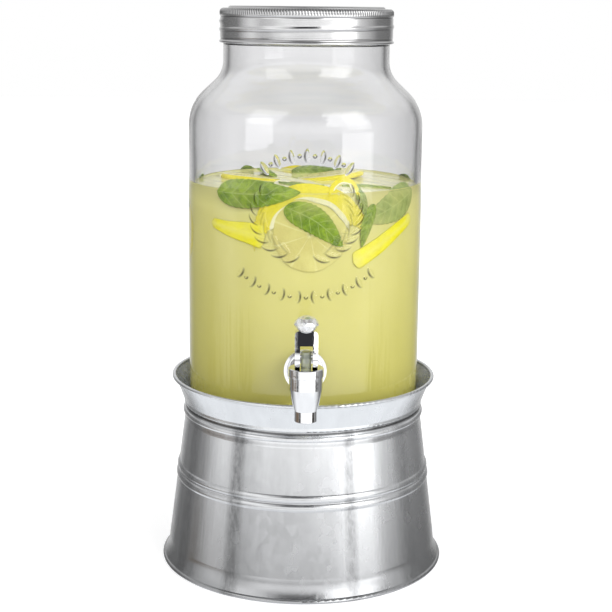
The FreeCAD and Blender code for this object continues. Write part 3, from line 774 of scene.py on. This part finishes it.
def galvanised(name, tone, rough, streaks, reflection_bands=(), foot=(0.0, 1.0), shaded_seams=()):
    """Zinc-coated sheet: faint spangle, upright streaks, specks, painted dark reflection bands and a duller
    foot.

    Each reflection band is its angle from the front and half width in degrees, and its strength. Each seam
    is a line of painted shade round the sheet: its height, half width and strength.
    """
    n = Nodes(name)
    x, y, z = n.axes()
    angle = n.maths("DEGREES", n.maths("ARCTAN2", x, n.times(y, -1.0)))
    spangle = n.cells(170, (1, 1, 0.8))
    flake = n.spread(spangle, 0.0, 1.0, -1.0, 1.0)
    upright = n.noise(95, 5, 0.6, (1, 1, 0.045))
    fine = n.noise(420, 3, 0.6, (1, 1, 0.03))
    cloud = n.noise(11, 3, 0.5, (1, 1, 0.55), 0.6)
    specks = n.spread(n.noise(760, 2, 0.7), 0.66, 0.80)
    mottle = n.spread(n.noise(330, 4, 0.7, (1, 1, 0.35)), 0.40, 0.62, 0.55, 1.0)
    value = n.plus(n.times(upright, streaks), n.times(cloud, 0.5))
    colour = n.mix(n.spread(value, 0.2, 0.85), dimmed(tone, 0.74), tone)
    colour = n.mix(n.spread(z, foot[0], foot[1], 0.95, 0.0), colour, dimmed(tone, 0.50))
    # Painted reflections: dark bands at fixed angles round the sheet, where it mirrors dark parts of the room,
    # broken up by a mottle.
    painted_reflection = 0.0
    for centre, half_width, strength in reflection_bands:
        away = n.maths("ABSOLUTE", n.maths("SUBTRACT", angle, centre))
        painted_reflection = n.maths("MAXIMUM", painted_reflection, n.spread(away, half_width * 0.35, half_width, strength, 0.0))
    if reflection_bands:
        colour = n.mix(n.times(painted_reflection, mottle), colour, dimmed(tone, 0.24))
    # Painted shade: dark lines round the sheet in the seams under the tray and its lip.
    for level, half_width, strength in shaded_seams:
        away = n.maths("ABSOLUTE", n.maths("SUBTRACT", z, level))
        colour = n.mix(n.spread(away, half_width * 0.3, half_width, strength, 0.0), colour, SEAM_SHADE_TONE)
    colour = n.mix(n.times(flake, 0.03, True), colour, (0.95, 0.97, 1.0))
    colour = n.mix(n.times(specks, 0.35), colour, dimmed(tone, 0.45))
    roughness = n.plus(n.spread(cloud, 0.3, 0.75, rough - 0.06, rough + 0.06),
                        n.times(flake, 0.04))
    height = n.plus(n.times(fine, 0.5), n.times(upright, 0.8))
    normal = n.bump(height, 0.22, 0.0006)
    normal = n.bump(spangle, 0.025, 0.0005, normal)
    return n.surface(n.principled(Base_Color=colour, Metallic=0.94, Roughness=roughness, Normal=normal))


def chrome(name, tone, crown=0.0):
    """Bright plating with faint smears and a few fine scratches. crown shades a flat face as if bowed."""
    n = Nodes(name)
    smear = n.noise(60, 4, 0.6, (1, 1, 0.5), 1.2)
    scratch = n.noise(1500, 2, 0.5, (1, 0.06, 0.06))
    colour = n.mix(n.spread(smear, 0.35, 0.8), tone, dimmed(tone, 0.93))
    rough = n.plus(n.spread(smear, 0.4, 0.75, 0.035, 0.10), n.spread(scratch, 0.7, 0.8, 0.0, 0.05))
    normal = n.bump(n.noise(230, 3), 0.10, 0.0004)
    if crown:
        across = n.axes()[0]
        bow = n.times(n.times(across, across), -crown)
        normal = n.bump(bow, 1.0, 1.0, under=normal)
    return n.surface(n.principled(Base_Color=colour, Metallic=1.0, Roughness=rough, Normal=normal))


def rolled_tin(name, tone, rough):
    """Tinned lid sheet with rolling lines that run round the lid, and scuffs."""
    n = Nodes(name)
    rolling = n.noise(900, 3, 0.6, (0.04, 0.04, 1))
    scuff = n.noise(70, 5, 0.65, (1, 1, 1), 0.8)
    grain = n.noise(2600, 2)
    colour = n.mix(n.spread(scuff, 0.4, 0.75), tone, dimmed(tone, 0.93))
    # Painted shade between the knurls, under the thread and in the creases of the ring; the lid disc has none.
    colour = n.mix(n.times(n.attribute("groove_shade"), 0.8), colour, dimmed(tone, 0.22))
    roughness = n.plus(n.spread(scuff, 0.35, 0.8, rough - 0.02, rough + 0.04),
                        n.spread(grain, 0.3, 0.8, 0.0, 0.05))
    normal = n.bump(n.plus(rolling, n.times(grain, 0.3)), 0.10, 0.0003)
    return n.surface(n.principled(Base_Color=colour, Metallic=0.98, Roughness=roughness, Normal=normal))


def jar_glass():
    """Pressed soda glass: a faint green-grey cast, painted edge shade, soft waves and a few seeds."""
    n = Nodes("pressed_glass")
    wave = n.noise(26, 2, 0.4, (1, 1, 0.5), 0.4)
    seeds = n.spread(n.cells(210, output="Distance"), 0.0, 0.07, 1.0, 0.0)
    normal = n.bump(wave, 0.10, 0.002)
    normal = n.bump(seeds, 0.15, 0.0003, normal)
    rough = n.spread(n.noise(40, 4), 0.55, 0.85, 0.0, 0.03)
    facing = n.add("ShaderNodeLayerWeight", Blend=0.5).outputs["Facing"]
    # Painted shade: darker towards grazing angles, standing in for the longer path through the glass at its
    # edges and the dark room refracted there.
    rim = n.maths("POWER", n.spread(facing, 0.62, 0.98), 2.5)
    colour = n.mix(rim, (0.945, 0.945, 0.952), (0.10, 0.11, 0.09))
    # Painted shade: near black along the ornament's lower and outer edges, where the raised glass bends the
    # light away.
    colour = n.mix(n.times(n.attribute("ornament_edge_shade"), 0.97), colour, (0.010, 0.008, 0.004))
    glass = n.principled(Base_Color=colour, Roughness=rough, IOR=1.5, Normal=normal, Transmission_Weight=1.0)
    return n.surface(n.let_lamps_through(glass, (0.93, 0.95, 0.94)))


DRINK_COLOUR = (0.775, 0.735, 0.285)


def in_the_drink(n, colour, fog):
    """A colour seen through cloudy drink: paler the deeper it lies, and clear above the level."""
    x, y, z = n.axes()
    depth = n.spread(n.length(x, y), DRINK_R, CLEAR_R, 1.0, 0.0)
    cloud = n.spread(n.noise(38, 3, 0.5), 0.38, 0.72, -0.10, 0.30)
    veil = n.plus(n.maths("MULTIPLY_ADD", depth, 0.3 * (1.0 - fog), third=fog), cloud, True)
    under = n.spread(z, LEVEL_Z - 0.5 * MM, LEVEL_Z + 1.5 * MM, 1.0, 0.25)
    return n.mix(n.times(veil, under), colour, DRINK_COLOUR)


def drink_material():
    """Cloudy lemonade: drifting pulp, darker and deeper yellow towards the bottom, and a wet surface."""
    n = Nodes("cloudy_lemonade")
    drift = n.noise(16, 4, 0.55, (1, 1, 0.6), 0.5)
    pulp = n.spread(n.noise(420, 2, 0.6), 0.60, 0.78)
    _, _, z = n.axes()
    low = n.spread(z, JAR_Z, LEVEL_Z, 1.0, 0.0)
    colour = n.mix(n.spread(drift, 0.25, 0.8), (0.735, 0.700, 0.270), (0.81, 0.765, 0.330))
    colour = n.mix(n.times(low, 0.90), colour, (0.600, 0.555, 0.125))
    colour = n.mix(n.times(pulp, 0.18), colour, (0.80, 0.78, 0.42))
    rough = n.spread(drift, 0.3, 0.8, 0.02, 0.06)
    normal = n.bump(n.noise(55, 3), 0.05, 0.001)
    return n.surface(n.principled(Base_Color=colour, Roughness=rough, IOR=1.33, Normal=normal))


def leaf_material(name, dark, light, fog):
    """Mint leaf: blotched greens, pale midrib and side veins, fine grain between them."""
    n = Nodes(name)
    t, s = n.flat()
    side = n.maths("ABSOLUTE", s)
    blotch = n.noise(110, 5, 0.65, distortion=0.8)
    grain = n.noise(520, 3, 0.6)
    colour = n.mix(n.spread(blotch, 0.3, 0.72), dark, light)
    wave = n.maths("COSINE", n.times(n.maths("SUBTRACT", t, n.times(side, 0.32)), 22.0))
    vein = n.maths("MAXIMUM", n.spread(wave, 0.90, 1.0, 0.0, 0.70), n.spread(side, 0.0, 0.07, 1.0, 0.0))
    colour = n.mix(n.times(vein, 0.42), colour, (0.58, 0.66, 0.26))
    colour = n.mix(n.spread(grain, 0.5, 0.75, 0.0, 0.3), colour, dimmed(dark, 0.55))
    colour = in_the_drink(n, colour, fog)
    rough = n.spread(blotch, 0.3, 0.8, 0.30, 0.48)
    normal = n.bump(n.plus(n.times(wave, 0.5), grain), 0.35, 0.0005)
    return n.surface(n.wet(colour, rough, normal))


def lemon_material(name, fog, rind_share=0.93, flesh=(0.76, 0.68, 0.16)):
    """Lemon slice: pored rind, white pith, and streaked segments between thin walls."""
    n = Nodes(name)
    x, y = n.flat()
    share = n.length(x, y)
    turn = n.maths("ARCTAN2", y, x)
    segment = n.maths("COSINE", n.times(turn, 9.0))
    streak = n.noise(240, 4, 0.65, distortion=1.0)
    pores = n.cells(620, output="Distance")
    pulp = n.mix(n.spread(streak, 0.3, 0.75), dimmed(flesh, 0.86), flesh)
    wall = n.maths("MAXIMUM", n.spread(segment, 0.93, 1.0), n.spread(share, 0.05, 0.12, 1.0, 0.0))
    colour = n.mix(n.times(wall, 0.6), pulp, (0.86, 0.83, 0.55))
    colour = n.mix(n.spread(share, rind_share - 0.09, rind_share - 0.06), colour, (0.88, 0.86, 0.66))
    zest = n.mix(n.spread(pores, 0.0, 0.5, 1.0, 0.0), (0.80, 0.70, 0.003), (0.66, 0.55, 0.004))
    colour = n.mix(n.spread(share, rind_share - 0.012, rind_share + 0.008), colour, zest)
    colour = in_the_drink(n, colour, fog)
    rough = n.spread(streak, 0.3, 0.8, 0.22, 0.38)
    normal = n.bump(n.plus(streak, pores), 0.25, 0.0005)
    return n.surface(n.wet(colour, rough, normal))


def zest_material(name, fog):
    """Bright lemon flesh on its edge: long streaks, a paler line along it and pored zest at its sides."""
    n = Nodes(name)
    t, s = n.flat()
    streak = n.noise(150, 4, 0.6, (1, 1, 2.2), 0.8)
    pores = n.cells(640, output="Distance")
    colour = n.mix(n.spread(streak, 0.3, 0.75), (0.84, 0.77, 0.002), (0.93, 0.88, 0.010))
    side = n.maths("ABSOLUTE", s)
    colour = n.mix(n.spread(side, 0.0, 0.55, 0.28, 0.0), colour, (0.90, 0.86, 0.42))
    colour = in_the_drink(n, colour, fog)
    ends = n.spread(n.maths("ABSOLUTE", t), 0.72, 1.0, 0.0, 0.6)
    colour = n.mix(ends, colour, DRINK_COLOUR)
    normal = n.bump(n.plus(streak, pores), 0.25, 0.0005)
    rough = n.spread(streak, 0.3, 0.8, 0.24, 0.40)
    return n.surface(n.wet(colour, rough, normal))


def soft_plastic(name, tone, rough, sheen):
    """Moulded silicone or plastic: fine grain, handling marks and a little see-through at the edges."""
    n = Nodes(name)
    marks = n.noise(75, 4, 0.6)
    grain = n.noise(900, 2)
    colour = n.mix(n.spread(marks, 0.35, 0.75), tone, dimmed(tone, 0.84))
    roughness = n.plus(n.spread(marks, 0.3, 0.8, rough - 0.05, rough + 0.08),
                        n.spread(grain, 0.4, 0.8, 0.0, 0.05))
    normal = n.bump(n.plus(grain, n.times(marks, 0.5)), 0.12, 0.0003)
    return n.surface(n.principled(Base_Color=colour, Roughness=roughness, Normal=normal, Coat_Weight=sheen))


def clear_plastic(name, tone, rough, clear, silvered=0.0):
    """Cast acrylic or tinted plastic, with fine scuffs."""
    n = Nodes(name)
    scuff = n.noise(160, 4, 0.65, distortion=0.8)
    colour = n.mix(n.spread(scuff, 0.4, 0.8), tone, dimmed(tone, 0.93))
    roughness = n.spread(scuff, 0.45, 0.8, rough, rough + 0.05)
    normal = n.bump(n.noise(300, 2), 0.03, 0.0004)
    return n.surface(n.principled(Base_Color=colour, Roughness=roughness, IOR=1.49, Normal=normal,
                                  Transmission_Weight=clear, Metallic=silvered))


# ---- stage ----


FLOOR_HALF_WIDTH, FLOOR_GLOW = 6.0, 0.46


def make_floor():
    """A pale floor that glows a little, so that it is as white as the room. Nothing mirrors it."""
    n = Nodes("pale_floor")
    colour = n.mix(n.noise(3.0, 3), (0.86, 0.86, 0.86), (0.90, 0.90, 0.90))
    n.surface(n.principled(Base_Color=colour, Roughness=0.9, Emission_Color=(1, 1, 1, 1),
                           Emission_Strength=FLOOR_GLOW))
    half = FLOOR_HALF_WIDTH
    corners = [(-half, -half, 0), (half, -half, 0), (half, half, 0), (-half, half, 0)]
    floor = new_mesh("floor", corners, [(0, 1, 2, 3)])
    floor.data.materials.append(n.material)
    floor.visible_glossy = False
    floor.visible_transmission = False


# What the metal and the glass mirror at their own height: azimuth from the front in degrees, and brightness.
ROOM_TONES = (
    (-180, 0.84), (-165, 0.80), (-142, 0.20), (-104, 0.28), (-92, 0.75), (-78, 1.15), (-62, 0.80), (-50, 1.00),
    (-36, 1.45), (-28, 1.60), (-15, 1.40), (4, 1.50), (22, 1.75), (62, 1.70), (74, 0.95), (92, 0.62),
    (106, 0.28), (142, 0.20), (165, 0.80), (180, 0.84),
)
# Further tones of the room: from one height in degrees to another, the share it reaches, and colour.
ROOM_LEVELS = (
    (12, 22, 0.8, (0.80, 0.80, 0.80)),
    (46, 62, 1.0, (0.22, 0.22, 0.22)),
    (68, 78, 1.0, (0.55, 0.55, 0.56)),
    (-26, -36, 1.0, (1.15, 1.17, 1.20)),
)
# Height and colour of a dim band below eye level, and the tall softbox that the jar's wall mirrors.
DIM_BAND_HEIGHT, DIM_BAND_TONE = -7.5, (0.30, 0.30, 0.30)
TALL_SOFTBOX, TALL_SOFTBOX_TONE = (35, 68, -6.4, -1.6, 0.7), (3.4, 3.4, 3.4)
# Cards and softboxes with ragged edges: lowest and highest azimuth and height in degrees, softness, colour.
ROOM_PATCHES = (
    (-112, -70, -21, -13.8, 1.5, (0.20, 0.15, 0.11)),
    (-68, -52, -21, -13.8, 1.5, (0.03, 0.03, 0.03)),
    (68, 96, -21, -13.8, 1.5, (0.05, 0.045, 0.04)),
    (-24, 24, 27, 66, 4, (0.04, 0.04, 0.045)),
    (34, 60, -1.4, 14, 1.2, (2.6, 2.6, 2.6)),
    (20, 64, 13, 46, 2, (3.4, 3.4, 3.4)),
    (-64, -34, 14, 44, 5, (1.5, 1.5, 1.5)),
)


def make_world():
    """A white studio: plain white where it is seen, and a room with softboxes in what it lights."""
    scene = bpy.context.scene
    scene.view_settings.view_transform = "Standard"
    world = bpy.data.worlds.new("studio")
    scene.world = world
    n = Nodes("studio", world)
    x, y, z = n.axes("Generated")
    azimuth = n.maths("DEGREES", n.maths("ARCTAN2", x, n.times(y, -1.0)))
    height = n.maths("DEGREES", n.maths("ARCSINE", z))

    def patch(az_low, az_high, low, high, soft):
        """1 inside a patch of the room, fading out over soft degrees."""
        value = n.spread(azimuth, az_low - soft, az_low + soft)
        for part in (n.spread(azimuth, az_high - soft, az_high + soft, 1.0, 0.0),
                     n.spread(height, low - soft, low + soft),
                     n.spread(height, high - soft, high + soft, 1.0, 0.0)):
            value = n.times(value, part)
        return value

    stops = [((az + 180) / 360, (tone / 2,) * 3) for az, tone in ROOM_TONES]
    colour = n.mix(1.0, n.ramp(n.spread(azimuth, -180, 180), stops), (2.0, 2.0, 2.0), "MULTIPLY")
    for start, end, share, tone in ROOM_LEVELS:
        colour = n.mix(n.spread(height, start, end, 0.0, share), colour, tone)
    from_band = n.maths("ABSOLUTE", n.plus(height, -DIM_BAND_HEIGHT))
    dim = n.times(n.spread(from_band, 1.5, 7.0, 0.7, 0.0),
                  n.spread(n.maths("ABSOLUTE", azimuth), 50, 75, 1.0, 0.0))
    colour = n.mix(dim, colour, DIM_BAND_TONE)
    colour = n.mix(patch(*TALL_SOFTBOX), colour, TALL_SOFTBOX_TONE)
    ragged = n.add("ShaderNodeTexNoise", Vector=n.add("ShaderNodeTexCoord").outputs["Generated"], Scale=22.0)
    azimuth = n.plus(azimuth, n.spread(ragged.outputs["Fac"], 0.3, 0.7, -4.0, 4.0))
    height = n.plus(height, n.spread(ragged.outputs["Fac"], 0.3, 0.7, 2.5, -2.5))
    for *place, tone in ROOM_PATCHES:
        colour = n.mix(patch(*place), colour, tone)
    lit = n.add("ShaderNodeBackground", Color=colour, Strength=1.0).outputs[0]
    seen = n.add("ShaderNodeBackground", Color=(1, 1, 1, 1), Strength=1.0).outputs[0]
    n.surface(n.by_ray("Is Camera Ray", lit, seen))


LAMP_AIM = (0, 0, 0.25)


def soft_lamp(name, place, size, power):
    """A white rectangular softbox that points at the jar's middle, and that nothing mirrors."""
    data = bpy.data.lights.new(name, "AREA")
    data.shape = "RECTANGLE"
    data.size, data.size_y = size
    data.energy = power
    lamp = bpy.data.objects.new(name, data)
    lamp.visible_glossy = False
    lamp.location = place
    lamp.rotation_euler = (Vector(place) - Vector(LAMP_AIM)).to_track_quat("Z", "Y").to_euler()
    bpy.context.scene.collection.objects.link(lamp)


CAMERA_DISTANCE, CAMERA_HEIGHT, CAMERA_SIDE = 1.1716, 0.4596, 0.0018
CAMERA_PITCH, CAMERA_ROLL = radians(-11.82), radians(0.607)
CAMERA_LENS = 84.56
CAMERA_AZIMUTH = radians(-1.0)


def make_camera():
    """The camera at the photograph's viewing angle, with no depth of field."""
    data = bpy.data.cameras.new("camera")
    data.lens = CAMERA_LENS
    data.sensor_width = 36
    data.dof.use_dof = False
    camera = bpy.data.objects.new("camera", data)
    bpy.context.scene.collection.objects.link(camera)
    turn = Matrix.Rotation(CAMERA_AZIMUTH, 4, "Z")
    place = Matrix.Translation((CAMERA_SIDE, -CAMERA_DISTANCE, CAMERA_HEIGHT))
    pitch = Matrix.Rotation(pi / 2 + CAMERA_PITCH, 4, "X")
    roll = Matrix.Rotation(CAMERA_ROLL, 4, "Z")
    camera.matrix_world = turn @ place @ pitch @ roll
    bpy.context.scene.camera = camera


# ---- build ----


def paint(nodes, material):
    """Gives CAD nodes a material."""
    for node in nodes:
        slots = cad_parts[node].data.materials
        slots.clear()
        slots.append(material)


def float_free(azimuth, radius, height, heading, tilt):
    """A placing function for a piece on the drink's surface, from degrees and mm."""
    a, radius = radians(azimuth), radius * MM
    place = Matrix.Translation((radius * sin(a), -radius * cos(a), LEVEL_Z + height * MM))
    turn = Matrix.Rotation(radians(heading), 4, "Z") @ Matrix.Rotation(radians(tilt), 4, "X")
    return in_place(place @ turn)


jar = make_jar()
jar.data.materials.clear()
jar.data.materials.append(jar_glass())

mint = leaf_material("mint_leaf", (0.080, 0.170, 0.002), (0.330, 0.480, 0.020), 0.0)
mint_dark = leaf_material("mint_leaf_dark", (0.060, 0.130, 0.004), (0.210, 0.340, 0.020), 0.04)
mint_dull = leaf_material("mint_leaf_deep", (0.13, 0.22, 0.03), (0.32, 0.42, 0.13), 0.18)
lemon = lemon_material("lemon_slice", 0.05)
lemon_deep = lemon_material("lemon_slice_deep", 0.04, 0.72)
lemon_faint = lemon_material("lemon_slice_faint", 0.66, 1.2, (0.52, 0.42, 0.10))
lemon_pith = lemon_material("lemon_pith", 0.05, 1.2, (0.84, 0.82, 0.60))
zest = zest_material("lemon_zest", 0.02)
BACK = pi * JAR_R / MM  # arc length in mm from the front to the middle of the back

drink = make_drink()
drink.data.materials.append(drink_material())
contents = [drink]
WALL_LEAVES = (
    # name, base, tip, width, bow, depth behind the clearest layer, material
    ("mint_large", (-79, 318.0), (-5, 321.0), 23, -1.0, 0.1, mint),
    ("mint_on_slice", (-17, 310.0), (29, 279.0), 22, 4.5, 0.0, mint),
    ("mint_narrow", (40, 325.0), (49, 300.0), 8, 1.5, 0.5, mint_dark),
    ("mint_hanging", (56, 311.0), (45, 278.0), 11, -1.0, 0.3, mint),
    ("mint_right", (105, 318.0), (47, 298.0), 27, 1.0, 0.9, mint_dull),
    ("mint_back_a", (BACK - 60, 300.0), (BACK - 5, 316.0), 22, 2.0, 0.2, mint),
    ("mint_back_b", (BACK + 62, 322.0), (BACK + 30, 282.0), 20, -2.0, 0.4, mint_dark),
    ("mint_side", (150, 305.0), (196, 318.0), 20, 2.0, 0.4, mint_dark),
    ("mint_side_left", (-176, 318.0), (-132, 300.0), 21, -2.0, 0.4, mint),
)
contents += [leaf(*row) for row in WALL_LEAVES]
WALL_SLICES = (
    # name, centre, radii, depth, material, start and end angle, and the inner edge as a share
    ("lemon_behind", (3, 286), (47, 42), 1.2, lemon_deep, -6, 196, 0.58),
    ("lemon_front", (3, 289), (30, 28.5), 1.0, lemon_faint, 0, 360, 0.02),
    ("lemon_pith_arc", (3, 289), (30.6, 29), 0.5, lemon_pith, -6, 118, 0.92),
    ("lemon_back_a", (BACK + 8, 292), (31, 30), 0.5, lemon, 0, 360, 0.02),
    ("lemon_back_b", (BACK - 48, 276), (29, 28), 1.0, lemon_deep, 0, 360, 0.02),
    ("lemon_side_right", (178, 286), (30, 29), 0.8, lemon, 0, 360, 0.02),
    ("lemon_side_left", (-150, 280), (30, 28), 0.9, lemon_deep, 0, 360, 0.02),
)
contents += [slice_piece(*row) for row in WALL_SLICES]
contents.append(strip("lemon_wedge_left", (-86, 293), (-33, 286), 7, 20, 0, 0.5, zest))
contents.append(strip("lemon_wedge_right", (38, 266), (103, 297), 15, 10, 1, 0.5, zest))
contents.append(slice_piece("lemon_peel", (30, 320), (13, 12), 0.3, lemon_deep, -25, 195, 0.62))
FLOATING_SLICES = (
    # azimuth, distance from the axis, height, heading, tilt and radius
    (150, 40, 0.0, 70, -7, 30),
    (-120, 50, -1.0, 130, 6, 27),
)
for k, (*place, radius) in enumerate(FLOATING_SLICES):
    contents.append(slice_piece(f"lemon_floating_{k + 1}", (0, 0), (radius, radius), -2.5, lemon, thick=5,
                                place=float_free(*place)))
FLOATING_LEAVES = (
    # azimuth, distance from the axis, height, heading, tilt, length and width
    (-36, 60, 3, 60, 34, 42, 20),
    (-10, 20, 1, 150, 12, 42, 20),
    (52, 60, 1, -20, 14, 40, 20),
    (170, 62, 3, 10, 28, 44, 20),
    (-150, 58, 3, 100, 24, 42, 21),
)
for k, (*place, length, width) in enumerate(FLOATING_LEAVES):
    contents.append(leaf(f"mint_floating_{k + 1}", (-length / 2, 0), (length / 2, 0), width, 1.5, 0.0,
                         mint_dark if k % 2 else mint, cup=3, place=float_free(*place)))
for piece in contents:
    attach(piece, "jar")

# Dark reflection bands painted on the skirt, where it mirrors dark parts of the room.
SKIRT_REFLECTION_BANDS = (
    # angle from the front and half width in degrees, and strength
    (-61, 6, 0.5), (-31, 4.5, 0.75), (20.5, 3.5, 0.65), (50, 7, 0.35), (88, 6, 0.6),
    (131, 5, 0.5), (168, 7, 0.6), (-150, 5, 0.5), (-104, 7, 0.6),
)
# Painted shade in the seams under the tray: height, half width and strength.
SKIRT_SEAM_SHADE = ((132.6 * MM, 1.5 * MM, 0.85), (123.6 * MM, 1.7 * MM, 0.2))
CHROME_TONE = (0.80, 0.805, 0.815)
skirt_zinc = galvanised("galvanised_skirt", (0.74, 0.75, 0.765), 0.24, 0.7,
                        SKIRT_REFLECTION_BANDS, (0.0, 0.115), SKIRT_SEAM_SHADE)
tray_zinc = galvanised("galvanised_tray", (0.80, 0.82, 0.84), 0.28, 0.5, foot=(0.10, 0.12))
lid_sheet = rolled_tin("lid_sheet", (0.60, 0.60, 0.605), 0.14)
silicone = soft_plastic("silicone", (0.80, 0.81, 0.79), 0.45, 0.0)
paint(("stand_skirt", "stand_top_plate"), skirt_zinc)
paint(("serving_tray",), tray_zinc)
paint(("spigot_body", "spigot_bonnet"), chrome("bright_chrome", CHROME_TONE))
paint(("lever",), chrome("lever_chrome", CHROME_TONE, crown=10.0))
paint(("base_rim_wire", "tray_rim_wire", "pivot_pin", "knob_stud"), chrome("drawn_steel", (0.66, 0.66, 0.67)))
paint(("lid_disc",), rolled_tin("lid_disc_sheet", (0.62, 0.62, 0.625), 0.34))
band = make_band()
band.data.materials.append(lid_sheet)
paint(("outer_washer", "inner_washer", "lid_gasket"), silicone)
seat = make_seat()
seat.data.materials.append(silicone)
paint(("slip_washer", "lock_nut"), soft_plastic("moulded_plastic", (0.78, 0.79, 0.78), 0.35, 0.3))
paint(("valve_stem",), clear_plastic("stem_plastic", (0.62, 0.66, 0.56), 0.12, 0.6))
knob = make_knob()
knob.data.materials.append(clear_plastic("cut_crystal", (0.93, 0.935, 0.95), 0.015, 0.6, 0.5))

make_floor()
make_world()
soft_lamp("key_softbox", (-1.0, -1.0, 1.3), (0.9, 1.1), 6)
soft_lamp("fill_softbox", (1.2, -0.9, 1.0), (0.8, 1.1), 5)
make_camera()
